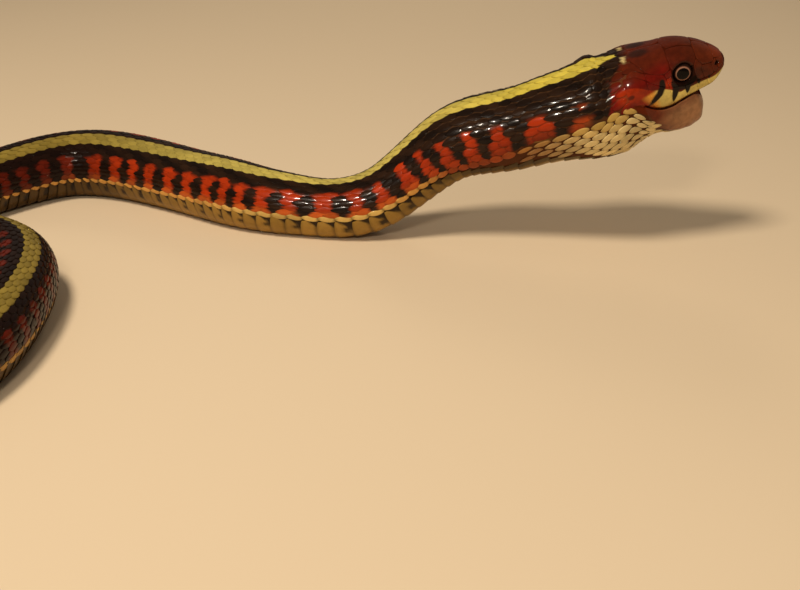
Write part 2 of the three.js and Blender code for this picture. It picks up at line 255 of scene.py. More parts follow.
clear_selection()
turn = (math.radians(90 - LOOK_DOWN), 0, 0)
bpy.ops.object.camera_add(location=(np.array(CAMERA) + SHIFT) * MM, rotation=turn)
camera = bpy.context.object
camera.data.lens = LENS
camera.data.clip_start = NEAREST
bpy.context.scene.camera = camera

clear_selection()
bpy.ops.mesh.primitive_plane_add(size=FLOOR_SIDE, location=(0, 0, -FLOOR_DROP))
floor = bpy.context.object
floor.name = "floor"
floor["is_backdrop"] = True
print("camera at", tuple(round(v, 4) for v in camera.location))


# %% Lamps
def lamp(name, place, target, size, power, lights, glints, spread=180):
    """A round lamp, which may light the scales, leave glints on them, or both."""
    data = bpy.data.lights.new(name, "AREA")
    data.shape = "DISK"
    data.size = size * MM
    data.energy = power
    data.color = WARM
    data.spread = math.radians(spread)
    lit = bpy.data.objects.new(name, data)
    bpy.context.collection.objects.link(lit)
    lit.location = np.array(place) * MM
    aim = Vector(np.array(target) * MM) - lit.location
    lit.rotation_euler = aim.to_track_quat("-Z", "Y").to_euler()
    lit.visible_diffuse = lights
    lit.visible_glossy = glints
    return lit


lamp("soft lamp", (-50, -70, 220), (10, 0, 0), 60, 0.41, True, False)
lamp("front lamp", (5, -130, 110), (15, 0, 8), 25, 0.055, True, False)
lamp("glint lamp", (-22, -130, 110), (12, 0, 8), 6, 0.0065, False, True, 26)
lamp("rear lamp", (40, 190, 120), (0, 0, 5), 60, 0.05, True, False)
world = bpy.data.worlds.new("studio")
bpy.context.scene.world = world
world.use_nodes = True
world.node_tree.nodes["Background"].inputs["Color"].default_value = HAZE
world.node_tree.nodes["Background"].inputs["Strength"].default_value = HAZE_STRENGTH
bpy.context.scene.view_settings.view_transform = "Standard"

# %% [markdown]
# ## The head's outline
#
# A garter snake's head is a long wedge: broad at the jaw muscles, flat between the eyes, blunt
# at the snout. Its sections are rounded boxes, so each table below gives one line of the head
# seen from the side or from above: the crown, the cheek, the lip, the throat, the lower jaw.

# %% Sizes of the head, in millimetres from the collar
SNOUT = 9.4           # tip of the snout
BLUNT = 1.75          # length over which the snout is rounded off
CORNER = 2.3          # corner of the mouth
CROWN = [
    (0, 3.95), (1.4, 3.86), (2.4, 3.8), (3.4, 3.7), (4.4, 3.56), (5.4, 3.5),
    (6.4, 3.2), (7.2, 2.76), (8.2, 2.1), (9.4, 1.45),
]
CHEEK = [
    (0, 4.03), (1.3, 3.78), (2, 3.55), (3, 3.12), (4, 2.72), (5, 2.4),
    (6, 2.15), (7, 1.9), (8, 1.66), (9.4, 1.35),
]
CHEEK_HEIGHT = [(0, 0), (2, 1.25), (4, 1.1), (6, 1.15), (8, 0.75), (9.4, 0.35)]
LIP = [
    (0, 1), (1.7, 0.8), (2.2, 0.36), (2.9, -0.28), (3.5, -0.66), (4.3, -0.9), (5.4, -0.84),
    (6.4, -0.78), (7.3, -0.76), (8.4, -0.65), (9.4, -0.42),
]
THROAT = [(0, -3.93), (1, -3.68), (2, -3.54), (2.5, -3.5)]
JAW_LIP = [(2.3, 0.27), (2.7, -0.12), (3.2, -0.5), (4.1, -0.84), (5, -0.88), (5.75, -0.88),
           (6.3, -1.0), (6.86, -1.5)]
JAW_BOTTOM = [(2.3, -3.5), (3.1, -3.6), (3.95, -3.84), (4.75, -4.06), (5.5, -4.1),
              (6.2, -3.84), (6.86, -2.9)]
JAW_HALF = [(2.3, 3.43), (3.2, 3.1), (4.1, 2.74), (5, 2.4), (5.75, 2.08), (6.3, 1.76),
            (6.86, 1.3)]
JAW_TIP = 6.86
JAW_BLUNT = 0.5
JAW_POWER = 2.4
TAIL_BLUNT = 0.4
LIP_INSIDE = 15       # points across the palate and the floor of the mouth


def blunt(x, end, length):
    """Rounds an outline off to nothing over its last stretch, like the end of an egg."""
    return np.sqrt(1 - np.clip((x - (end - length)) / length, 0, 1) ** 2)


# %% [markdown]
# ## The grid of the skin
#
# The skin could be sculpted, but every scale has to be set on it by number: the fifth row from
# the back, the fortieth scale behind the collar. So the skin is made as a grid of rings with
# 160 points each, counted from the middle of the back. Column 40 of each side meets the corner
# of the mouth, and in front of it the upper head and the lower jaw go on as grids of their own.

# %% Lines and half sections
HALF_COLUMNS = 80     # columns from the middle of the back to the middle of the belly
ALL_COLUMNS = 2 * HALF_COLUMNS
COLUMN_SIZE = 0.156   # width of a column at the neck
LIP_COLUMN = 40
ARC_POINTS = 120      # points of a quarter of a section, before it is cut into columns


def squared(angle, power):
    """Sine and cosine of a squared-off circle."""
    sine, cosine = np.sin(angle), np.cos(angle)
    return (np.sign(sine) * np.abs(sine) ** (2 / power),
            np.sign(cosine) * np.abs(cosine) ** (2 / power))


def by_length(points, shares):
    """Points at the given shares of the length of a line."""
    lengths = np.concatenate([[0], np.cumsum(np.linalg.norm(np.diff(points, axis=0), axis=1))])
    at = np.asarray(shares) * lengths[-1]
    return np.stack([np.interp(at, lengths, points[:, k]) for k in range(2)], 1)


def closed_half(width, top, height, under, power):
    """Half a section of the neck, from the middle of the back to the middle of the belly."""
    back = np.stack(squared(np.radians(np.linspace(0, 90, ARC_POINTS)), power), 1)
    belly = np.stack(squared(np.radians(np.linspace(90, 180, 2 * ARC_POINTS)), BELLY_POWER), 1)[1:]
    back = back * [width, top - height] + [0, height]
    belly = belly * [width, height - under] + [0, height]
    return np.vstack([back, belly])


def mirrored(half):
    """A whole ring, down the left side and up the right, from half of one."""
    return np.vstack([half, half[-2:0:-1] * [-1, 1]])


# %% Rings of the body
NAPE_PLACE = 1.6      # the jaw muscles stand out most this far behind the collar
NAPE_REACH = (1.2, 0.6)     # and fade out over these lengths, forward and back
NAPE_RISE = 0.42
NAPE_DEGREES = 26     # how far round from the middle of the back they lie
NAPE_SPREAD = 15


def nape_rise(s, degrees):
    """How far the jaw muscles behind the skull stand out, on both sides of the back."""
    along = (s - NAPE_PLACE) / np.where(s < NAPE_PLACE, *NAPE_REACH)
    return NAPE_RISE * hump(along, (np.abs(degrees) - NAPE_DEGREES) / NAPE_SPREAD)


UNIT_RING = mirrored(by_length(closed_half(BREADTH, 1, 0, -1, BACK_POWER),
                               np.arange(HALF_COLUMNS + 1) / HALF_COLUMNS))


def body_rings(s):
    """Rings of the skin at the distances s behind the collar."""
    middle, _, left, up = (part[:, None, :] for part in frames_at(s))
    half = profile(GIRTH, s) * blunt(s, TAIL_TIP, TAIL_BLUNT)
    half = (half - np.minimum(COAT_DEPTH, 0.1 * half))[:, None, None]
    ring = UNIT_RING[None]
    degrees = np.degrees(np.arctan2(UNIT_RING[:, 0], UNIT_RING[:, 1]))
    half = half + nape_rise(s[:, None], degrees)[..., None]
    points = middle + half * (ring[..., :1] * left + ring[..., 1:] * up)
    points[..., 2] = np.maximum(points[..., 2], FLOOR_GAP)
    return points


# %% Rings and sections of the head
LIP_TUCK = 0.1        # how far the lip draws in below the cheek, over its drop
LIP_SWELL = 0.03
LIP_EDGE = 0.98       # the palate starts this far out, over the lip's half width
PALATE_HOLLOW = 0.75
PALATE_DROP = 1.6     # the hollow grows shallower where the lip drops less than this


def head_sizes(x):
    """Half width, crown, height of the cheek and lip of the skin at x, and its roundness."""
    round_end = blunt(x, SNOUT - COAT_DEPTH, BLUNT)
    height = profile(CHEEK_HEIGHT, x)
    width = (profile(CHEEK, x) - COAT_DEPTH) * round_end
    top = height + (profile(CROWN, x) - COAT_DEPTH - height) * round_end
    lip = height + (profile(LIP, x) - height) * round_end
    return width, top, height, lip, BACK_POWER + 0.6 * ramp(x, 0, 3)


def closed_ring(x):
    """Ring of the head behind the corner of the mouth. Column 40 moves to the corner."""
    width, top, height, lip, power = head_sizes(x)
    half = closed_half(width, top, height, profile(THROAT, x) + COAT_DEPTH, power)
    degrees = np.degrees(np.arctan2(half[:, 0], half[:, 1]))
    half = half * (1 + nape_rise(-x, degrees) / np.linalg.norm(half, axis=1))[:, None]
    lengths = np.concatenate([[0], np.cumsum(np.linalg.norm(np.diff(half, axis=0), axis=1))])
    side = half[:, 1] < height
    at_corner = np.interp(-profile(LIP, CORNER), -half[side, 1], lengths[side]) / lengths[-1]
    share = 0.5 + (at_corner - 0.5) * ramp(x, 0, CORNER)
    columns = np.arange(HALF_COLUMNS + 1)
    shares = np.interp(columns, [0, LIP_COLUMN, HALF_COLUMNS], [0, share, 1])
    return mirrored(by_length(half, shares))


def upper_section(x):
    """Upper head in front of the corner: the row from lip to lip, and the palate between."""
    width, top, height, lip, power = head_sizes(x)
    crown = np.stack(squared(np.radians(np.linspace(0, 90, ARC_POINTS)), power), 1)
    crown = crown * [width, top - height] + [0, height]
    v = np.linspace(0, 1, ARC_POINTS // 2)[1:]
    drop = height - lip
    side = np.stack([width - LIP_TUCK * drop * v**2 + LIP_SWELL * np.sin(math.pi * v) * drop,
                     height - drop * v], 1)
    half = by_length(np.vstack([crown, side]), np.arange(LIP_COLUMN + 1) / LIP_COLUMN)
    outer = np.vstack([half[:0:-1] * [-1, 1], half])
    v = np.linspace(1, -1, LIP_INSIDE + 2)[1:-1]
    hollow = PALATE_HOLLOW * np.minimum(1, drop / PALATE_DROP)
    inner = np.stack([v * half[-1, 0] * LIP_EDGE, lip + hollow * (1 - np.abs(v) ** 5)], 1)
    place = np.full(len(outer) + len(inner), x)
    both = np.vstack([outer, inner])
    return head_place(place, both[:, 0], both[:, 1])


# %% Sections of the lower jaw
COAT_EASE = 1.5       # lengths in front of the corner over which the jaw's own form takes over
JAW_EASE = 1.4
JAW_EDGE = 0.96       # the floor of the mouth starts this far out, over the lip's half width
JAW_HOLLOW = 1.1
CORNER_RING = closed_ring(CORNER)[LIP_COLUMN: HALF_COLUMNS + 1]

# the tables of the jaw start where the closed rings end
JAW_LIP[0] = (CORNER, CORNER_RING[0, 1])
JAW_HALF[0] = (CORNER, CORNER_RING[0, 0] + COAT_DEPTH)
JAW_BOTTOM[0] = (CORNER, CORNER_RING[-1, 1] - COAT_DEPTH)


def lower_section(x):
    """Lower jaw: the row from the left lip under the chin to the right lip, and the floor."""
    end = blunt(x, JAW_TIP, JAW_BLUNT)
    coat = COAT_DEPTH * (1 - ramp(x, CORNER, CORNER + COAT_EASE))
    lip, bottom, half = profile(JAW_LIP, x), profile(JAW_BOTTOM, x) + coat, profile(JAW_HALF, x) - coat
    middle = (lip + bottom) / 2
    lip, bottom = middle + (lip - middle) * end, middle + (bottom - middle) * end
    half = half * end
    side, rise = squared(np.radians(np.linspace(90, 0, ARC_POINTS)), JAW_POWER)
    line = np.stack([half * side, lip + (bottom - lip) * rise], 1)
    share = np.arange(HALF_COLUMNS - LIP_COLUMN + 1) / (HALF_COLUMNS - LIP_COLUMN)
    left = by_length(line, share)
    corner = CORNER_RING * [half / CORNER_RING[0, 0], (lip - bottom) / np.ptp(CORNER_RING[:, 1])]
    corner[:, 1] += bottom - corner[-1, 1]
    left = corner + (left - corner) * ramp(x, CORNER, CORNER + JAW_EASE)
    outer = np.vstack([left, left[-2::-1] * [-1, 1]])
    v = np.linspace(1, -1, LIP_INSIDE + 2)[1:-1]
    depth = JAW_HOLLOW * np.minimum(1, half / 2)
    inner = np.stack([v * half * JAW_EDGE, lip - depth * (1 - np.abs(v) ** 3)], 1)
    both = np.vstack([outer, inner])
    return head_place(np.full(len(both), x), both[:, 0], both[:, 1])


# %% Rings and rows of the skin
STATION = 0.5         # distance between two rings, which stand closer where an end is round
HEAD_STATION = 0.1
JAW_GAP = 0.06        # the first rows of the two jaws stand this far in front of the corner
POCKET = {"back": 1.1, "half": 3.2, "drop": 0.5}
body_s = np.concatenate([np.arange(0, TAIL_TIP - 0.45, STATION), TAIL_TIP - np.array([0.3, 0.12, 0.03])])
back_x = np.arange(CORNER, 0.01, -HEAD_STATION)
upper_x = np.concatenate([np.arange(CORNER + JAW_GAP, SNOUT - 0.5, HEAD_STATION),
                          SNOUT - COAT_DEPTH - np.array([0.38, 0.28, 0.19, 0.12, 0.06, 0.02])])
lower_x = np.concatenate([np.arange(CORNER + JAW_GAP, JAW_TIP - 0.3, HEAD_STATION),
                          JAW_TIP - np.array([0.22, 0.14, 0.08, 0.03])])
closed = [head_place(x, *closed_ring(x).T) for x in back_x]
around = np.concatenate([np.array(closed), body_rings(body_s)])
around_a = np.concatenate([-back_x, body_s])
upper = np.array([upper_section(x) for x in upper_x])
lower = np.array([lower_section(x) for x in lower_x])
pocket_v = np.linspace(1, -1, LIP_INSIDE + 2)[1:-1]
pocket = head_place(CORNER - POCKET["back"] * np.sqrt(1 - pocket_v**2), pocket_v * POCKET["half"],
                    profile(LIP, CORNER) - POCKET["drop"] * (1 - pocket_v**2))
print("rings:", len(around), "upper rows:", len(upper), "lower rows:", len(lower))

# %% [markdown]
# ## Relief of the head
#
# Some forms are too small for the tables: the hollow that holds the eye, the brow over it, the
# nostril, the crease that goes on behind the corner of the mouth, the swollen muscles at the
# back of the skull and the soft folds of the lining of the lower jaw. Each moves the skin in
# or out by a smooth bump that is given by its place in the head.

# %% Move the skin of the head in and out
NOSTRIL = {"x": 8.55, "z": 0.62}
SOCKET = 0.8          # half the width of the hollow that holds the eye
SOCKET_DEPTH = 0.5


def relief(points, outward):
    """Points of the head moved along their outward directions."""
    x, y, z = head_local(points)
    side = np.abs(y) > 0.8
    rho = np.hypot(x - EYE["x"], z - EYE["z"])
    socket = -SOCKET_DEPTH * ramp(-rho, -SOCKET - 0.02, -SOCKET + 0.16) * side
    rim = 0.07 * hump((rho - SOCKET - 0.14) / 0.13) * side
    brow = 0.1 * hump((z - EYE["z"] - 0.98) / 0.24, (x - EYE["x"]) / 0.95)
    hole = np.hypot((x - NOSTRIL["x"]) / 1.2, z - NOSTRIL["z"])
    nostril = -0.3 * ramp(-hole, -0.2, -0.06) * (np.abs(y) > 0.5)
    crease = -0.1 * hump((z - profile(LIP, x)) / 0.12) * ramp(x, 0.9, 1.5) * (x < CORNER + 0.3)
    crease = crease * side
    temple = 0.12 * hump((x - 2.6) / 1.3, (z - 2.0) / 0.8) * side
    shift = socket + rim + brow * side + nostril + crease + temple
    return points + shift[..., None] * outward


def folds(points, outward):
    """The bulging lining of the lower jaw, with soft folds."""
    x, y, z = head_local(points)
    swell = 0.12 * hump((x - 4.9) / 1.2, (z + 2.3) / 1.1)
    wave = 0.025 * np.sin(5.2 * x + 2.4 * z) * np.sin(3.1 * z - 1.7 * x + 0.6)
    in_front = ramp(x, CORNER + 0.1, CORNER + 1.0)
    return points + ((swell + wave) * in_front)[..., None] * outward


def grid_normals(points, wrap):
    """Outward direction at each point of a grid whose rows run from the snout to the tail."""
    along = np.gradient(points, axis=0)
    if wrap:
        across = np.roll(points, -1, axis=1) - np.roll(points, 1, axis=1)
    else:
        across = np.gradient(points, axis=1)
    out = np.cross(across, along)
    return out / np.maximum(np.linalg.norm(out, axis=-1, keepdims=True), 1e-9)


# %% Relief on the grids
ring_order = np.arange(-LIP_COLUMN, LIP_COLUMN + 1)
under_order = np.arange(LIP_COLUMN, ALL_COLUMNS - LIP_COLUMN + 1)
OUTER = len(ring_order)
over_grid = np.concatenate([upper[::-1, :OUTER], around[:, ring_order]])
over_grid = relief(over_grid, grid_normals(over_grid, False))
under_grid = np.concatenate([lower[::-1, :OUTER], around[:, under_order]])
under_grid = folds(under_grid, grid_normals(under_grid, False))
upper[:, :OUTER] = over_grid[: len(upper)][::-1]
lower[:, :OUTER] = under_grid[: len(lower)][::-1]
around[:, ring_order] = over_grid[len(upper):]


# %% Sheets that the scales are set on
class Sheet:
    """A grid of the skin: a point for every station a, column b and height over the skin."""

    def __init__(self, stations, first_column, points, wrap=False):
        self.stations = stations
        self.first = first_column
        self.points = points
        self.normals = grid_normals(points, wrap)
        self.wrap = wrap

    def at(self, a, b, height):
        a, b, height = np.broadcast_arrays(a, b, height)
        i = np.interp(a, self.stations, np.arange(len(self.stations)))
        j = b - self.first
        i0 = np.clip(np.floor(i).astype(int), 0, len(self.stations) - 2)
        count = self.points.shape[1]
        if self.wrap:
            j0 = np.floor(j).astype(int)
            left, right = j0 % count, (j0 + 1) % count
        else:
            j0 = np.clip(np.floor(j).astype(int), 0, count - 2)
            left, right = j0, j0 + 1
        u, v = np.clip(i - i0, 0, 1)[..., None], np.clip(j - j0, 0, 1)[..., None]
        out = 0
        for grid, scale in ((self.points, 1), (self.normals, height[..., None])):
            front = grid[i0, left] * (1 - v) + grid[i0, right] * v
            rear = grid[i0 + 1, left] * (1 - v) + grid[i0 + 1, right] * v
            out = out + (front * (1 - u) + rear * u) * scale
        return out


OVER = Sheet(np.concatenate([-upper_x[::-1], around_a]), -LIP_COLUMN, over_grid)
UNDER = Sheet(np.concatenate([-lower_x[::-1], around_a]), LIP_COLUMN,
              np.concatenate([lower[::-1, :OUTER], around[:, under_order]]))
AROUND = Sheet(around_a, 0, around, wrap=True)
print("skin grids:", OVER.points.shape, UNDER.points.shape, AROUND.points.shape)

# %% [markdown]
# ## Markings
#
# The skin and the coat must carry the same markings, or the skin would show through wrong
# between the scales. So one function gives the colour for any place on the snake: the yellow
# stripe on three rows of scales, the black flank, the red bars and spots that repeat every two
# scales, the pale line along the side, the tan belly, the maroon crown and the pale lips with
# their black bars. A place is a distance a behind the collar (less than nothing on the head)
# and a row r, counted from the middle of the back, where one row is four columns wide.
# Some light and shade is painted in too: painted shade darkens the rear body, the belly, the lining
# under the lip and the nostril, and painted light brightens the snout.

# %% Rows counted round the body
ROW = 4               # columns to a row of scales
STRIPE_ROWS = 1.5     # rows of the back stripe on each side of its middle
STRETCH = [           # distance behind the collar, and how much wider the rows are drawn there
    (-3, 1.1), (0, 1.12), (4, 1.14), (7, 1.2), (10, 1.32), (12.7, 1.4), (15, 1.3), (17, 1.22),
    (22, 1.17), (25, 1.15), (30, 1.115), (36, 1.06), (45, 1.01), (60, 1), (209, 1),
]


def column_of(a, r):
    """Column of the row r: under the stripe the rows are drawn wide where the snake swallows."""
    return ROW * (r + np.maximum(r - STRIPE_ROWS, 0) * (profile(STRETCH, a) - 1))


def row_at(a, column):
    """Rows between the middle of the back and a column, on either side."""
    column = column % ALL_COLUMNS
    plain = np.minimum(column, ALL_COLUMNS - column) / ROW
    return plain - np.maximum(plain - STRIPE_ROWS, 0) * (1 - 1 / profile(STRETCH, a))


# %% [markdown]
# The rows of the throat don't follow those of the back. They start under the corner of the
# mouth, rise to the foot of the collar and sink again behind it, so the first of them is a line
# of its own, and the others lie at even distances below it, measured round the throat.

# %% Rows of the throat
THROAT_ROWS = 16
THROAT_ROW = 9.0      # behind the throat its first row is this row of the body
THROAT_SPACING = 0.46
THROAT_REAR = 6       # where the throat's own line ends
THROAT_TOP = 24       # no row of the throat reaches higher than this column
THROAT_STEP = 0.1
THROAT_LINE = [(-2.3, 46), (-1.8, 41.5), (-1.1, 37), (-0.4, 35), (0.5, 34.5), (1.5, 36.5),
               (2.5, 37.3), (4, 39.3), (6, 41.4)]
throat_a = np.concatenate([np.arange(-4.8, -CORNER, THROAT_STEP), np.arange(-CORNER, 14, THROAT_STEP)])


def throat_table():
    """Column of every row of the throat, and how far it lies from the middle of the belly."""
    table = []
    for a in throat_a[::-1]:
        front = a < -CORNER
        columns = np.arange(LIP_COLUMN if front else THROAT_TOP, HALF_COLUMNS + 1)
        line = (UNDER if front else AROUND).at(a, columns, 0.0)
        steps = np.linalg.norm(np.diff(line, axis=0), axis=1)
        below = np.concatenate([[0], np.cumsum(steps[::-1])])
        if not front:
            first = column_of(a, THROAT_ROW) if a > THROAT_REAR else profile(THROAT_LINE, a)
            reach = np.interp(first, columns, below[::-1])
        down = reach - THROAT_SPACING * np.arange(THROAT_ROWS)
        table.append([np.interp(down, below, columns[::-1]), down])
    return np.array(table)[::-1]


throat_columns, throat_reach = throat_table().transpose(1, 2, 0)


def throat_column(a, row):
    return np.interp(a, throat_a, throat_columns[row])


# %% Colours
def tint(red, green, blue):
    """Linear colour from the numbers from 0 to 255 that a colour picker shows."""
    c = np.array([red, green, blue]) / 255
    return np.where(c <= 0.04045, c / 12.92, ((c + 0.055) / 1.055) ** 2.4)


BLACK = tint(25, 14, 8)
UMBER = tint(44, 26, 14)
# a wine-black for the rear of the body, partly its own tint and partly painted shade
SHADED_WINE_BLACK = tint(25, 9, 4)
YELLOW = tint(205, 183, 72)
LEMON = tint(192, 172, 86)
OLIVE = tint(127, 104, 40)
STRIPE_SEAM = tint(84, 70, 24)
RED = tint(170, 50, 11)
ORANGE = tint(208, 108, 40)
WINE = tint(66, 16, 8)
SIDE_LINE = tint(216, 156, 76)
SIDE_CREAM = tint(218, 184, 104)
OCHRE = tint(198, 160, 82)
CREAM = tint(228, 202, 142)
THROAT_SKIN = tint(84, 46, 22)
SKIN_BROWN = tint(92, 62, 38)
TAN = tint(160, 123, 54)
BELLY = tint(118, 90, 54)
MAROON = tint(84, 27, 8)
FACE = tint(96, 38, 13)
TEMPLE = tint(112, 19, 8)
LIP_CREAM = tint(222, 196, 108)
LIP_AMBER = tint(230, 160, 62)
LINING = tint(164, 116, 78)
# the lining's dark red, also used as painted shade under the upper lip
LINING_DEEP = tint(104, 38, 12)
PALATE = tint(150, 92, 76)


def mix(first, second, share):
    return first + (second - first) * np.asarray(share)[..., None]


# %% Scales counted along the body
COUNT_STEP = 0.05
PITCH = [             # distance behind the collar, and the distance between scales there
    (-4, 1.05), (0, 1.1), (9, 1.15), (13, 1.02), (17, 0.98), (20, 1.15), (24, 1.26), (27, 1.28),
    (30, 1.15), (33, 0.92), (36, 1.02), (41, 1.12), (48, 1.15), (53, 1.3), (57, 1.12),
    (61, 1.05), (110, 1.0), (150, 0.86), (160, 0.78), (180, 0.62), (200, 0.44), (209, 0.36),
]
count_a = np.arange(-4, TAIL_TIP, COUNT_STEP)
count_n = np.cumsum(COUNT_STEP / profile(PITCH, count_a))
count_n = count_n - np.interp(0, count_a, count_n)


def count_at(a):
    """Number of scales between the collar and a."""
    return np.interp(a, count_a, count_n)


def place_of(n):
    """Distance behind the collar of the scale with the number n."""
    return np.interp(n, count_n, count_a)


VENTRAL_EDGE = [(-3, 15.2), (0, 14.7), (4, 12.4), (8, 10.6), (12, 9.6), (16, 9.45), (209, 9.6)]
print("scales along the back to the vent:", int(count_at(VENT)))


# %% The body's markings
BAR_PLACES = [          # red bars and the black ones between them, in turns
    4.2, 5.6, 7.5, 9.3, 10.6, 11.7, 12.7, 13.8, 14.7, 15.6, 16.5, 17.4, 18.9, 20.0, 21.3, 22.3,
    23.5, 25.3, 26.6, 28.1, 29.1, 30.3, 31.1, 32.0, 32.7, 33.4, 34.2, 35.1, 36.1, 37.3, 38.4,
    39.5, 40.8, 42.0, 43.0, 43.9, 45.0, 46.3, 47.5, 48.8, 51.0, 53.2, 55.1, 56.4, 57.7, 58.7,
    59.8, 60.7,
]


def wave_at(a):
    """A number that is whole in the middle of each black bar, and a half more in a red one."""
    beyond = np.maximum(count_at(a) - count_at(BAR_PLACES[-1]), 0) / 2
    return np.interp(a, BAR_PLACES, np.arange(len(BAR_PLACES)) / 2) + beyond


def inside(p, q, middle, half, rim):
    """1 inside an oval with this middle and these half sizes, fading out over its soft rim."""
    return 1 - ramp(np.hypot((p - middle[0]) / half[0], (q - middle[1]) / half[1]), *rim)


def neck_bars(a, r, wave, beat):
    """Red bars of the neck, which reach high up the flank and are narrower on top."""
    top = 5.3 - 0.6 * ramp(a, 6, 9) - ramp(a, 12, 16.5) + 0.25 * np.sin(np.floor(wave) * 2.3)
    narrow = 0.3 * (1 - ramp(r, 4.8, 8.3))
    return ramp(beat, 0.3 + narrow, 0.42 + narrow) * ramp(r, top - 0.2, top + 0.2)


def red_round_spots(a, r, wave, beat):
    """The red of the flank behind the neck, under a wavy edge and round tall black spots."""
    bar = np.floor(wave + 0.5)
    uneven = 0.35 * np.sin(bar * 2.3) + 0.25 * np.sin(bar * 5.1 + 1)
    tall = 2.1 + 0.5 * ramp(a, 38, 43)
    spot = (beat / (0.6 + 0.08 * uneven)) ** 2 + ((r - 6.4 - 0.3 * uneven) / tall) ** 2
    edge = 3.72 + 0.6 * (1 - beat) + 0.45 * uneven
    return ramp(spot, 0.85, 1.15) * ramp(r, edge - 0.25, edge + 0.25)


def first_patches(a, r):
    """A small red patch in the black behind the collar, and a leaning one below it."""
    lean = a - 0.35 * (r - 7.5)
    return np.maximum(0.8 * inside(a, r, (2.7, 5.6), (0.4, 0.45), (0.6, 1.1)),
                      ramp(r, 6.7, 7.3) * ramp(lean, 1.9, 2.3) * (1 - ramp(lean, 3.2, 3.6)))


def flank(a, r):
    """Red shows through the black flank where this is 1."""
    wave = wave_at(a)
    beat = np.abs((wave + 0.5) % 1 - 0.5) * 2          # 0 in a black bar, 1 in a red one
    raised = 1 - ramp(a, 20.5, 22.5)
    red = raised * neck_bars(a, r, wave, beat) + (1 - raised) * red_round_spots(a, r, wave, beat)
    return np.where(a < BAR_PLACES[0], first_patches(a, r), red)


def body_colour(a, r):
    """Colour of a scale of the back or flank at a and r."""
    r = np.abs(r)
    base = mix(BLACK, UMBER, 0.5 + 0.5 * np.sin(a * 1.7 + r * 2.1))
    # painted shade, partly the snake's own wine tint: from 40 mm back the black darkens to a wine-black
    base = mix(base, SHADED_WINE_BLACK, 0.8 * ramp(a, 40, 54))
    low = (0.15 + 0.5 * ramp(a, 14, 20)) * ramp(r, 6.8, 8.4)
    red = mix(RED, ORANGE, low + 0.35 * (1 - ramp(a, 1, 5)))
    red = mix(red, WINE, 0.55 * ramp(r, 6.8, 8.2) * (1 - ramp(a, 7, 12)))
    # painted shade, partly the snake's own wine tint: from 40 mm back the red darkens to wine
    red = mix(red, WINE, 0.85 * ramp(a, 40, 58))
    out = mix(base, red, flank(a, r) * (r < 8.5))
    line = mix(SIDE_LINE, SIDE_CREAM, 0.8 * ramp(a, 18, 21) * (1 - ramp(a, 31, 37)))
    line = mix(line, OCHRE * 0.8, 0.8 * (1 - ramp(a, 3, 9)))
    line = mix(line, RED * 0.7, 0.9 * ramp(a, 6, 9) * (1 - ramp(a, 14, 17)))
    line = mix(line, OLIVE, 0.5 * ramp(a, 60, 90))
    return mix(out, line, ramp(r, 8.42, 8.52) * ramp(a, 0.3, 1.2))


# %% Lines and ovals of the head's markings
# each oval is its middle, its half sizes and how soft its rim is: the first two lie on the
# crown, forward and out from its middle, and the others on the side, forward and up
SMUDGE = (3.1, 0.8), (0.9, 0.65), (0.6, 1.1)
NAPE_SPOT = (1.88, 1.05), (0.18, 0.6), (0.7, 1.05)
RED_SPOT = (4.62, 1.0), (0.5, 0.5), (0.5, 1.1)
UNDER_EYE = (5.85, 0.42), (1.05, 0.46), (0.8, 1.05)
BEHIND_EYE = (5.0, 0.75), (0.3, 0.55), (0.7, 1.1)
BEFORE_EYE = (7.0, 0.75), (0.5, 0.42), (0.5, 1.15)
TEMPLE_BLOT = (1.55, 1.62), (0.32, 0.2), (0.6, 1.1)
BARS = [[(4.12, 1.45), (4.05, 1.05), (3.68, 0.66), (3.16, 0.4), (2.6, 0.16)],
        [(5.12, 0.75), (4.93, 0.22), (4.72, -0.2), (4.54, -0.55)],
        [(6.0, 0.35), (5.87, -0.05), (5.74, -0.45)], [(6.84, 0.2), (6.8, -0.15)],
        [(7.7, 0.1), (7.66, -0.15)]]
BAR_HALVES = [0.27, 0.26, 0.22, 0.15, 0.08]
LABIAL_TOP = [(0.4, 2.2), (1.3, 2.35), (2.4, 2.0), (3.17, 1.3), (3.6, 1.05), (4.16, 0.8),
              (4.66, 0.42), (5.16, -0.05), (5.7, -0.08), (7, -0.1), (8.5, -0.16), (8.9, -0.06),
              (9.4, 0.02)]
LINING_EDGE = [(-3.95, 4.6), (-3.5, 4.1), (-3.05, 3.56), (-2.35, 2.96), (-1.6, 2.66),
               (-0.56, 2.3), (0.27, 1.6), (1.2, 1.2)]


def bar_at(x, z, line, half):
    """1 on a black bar along a line of points, widest in its upper half and pointed below."""
    line = np.array(line)
    steps = np.linalg.norm(np.diff(line, axis=0), axis=1)
    starts = np.concatenate([[0], np.cumsum(steps)])
    out = np.zeros_like(x)
    for start, end, before, step in zip(line, line[1:], starts, steps):
        share = np.clip(((x - start[0]) * (end[0] - start[0]) + (z - start[1]) * (end[1] - start[1]))
                        / step**2, 0, 1)
        away = np.hypot(x - start[0] - share * (end[0] - start[0]),
                        z - start[1] - share * (end[1] - start[1]))
        along = (before + share * step) / starts[-1]
        width = half * (0.25 + 0.75 * np.sin(math.pi * np.clip(0.2 + 0.8 * along, 0, 1)) ** 0.8)
        out = np.maximum(out, 1 - ramp(away, width - 0.04, width + 0.05))
    return out


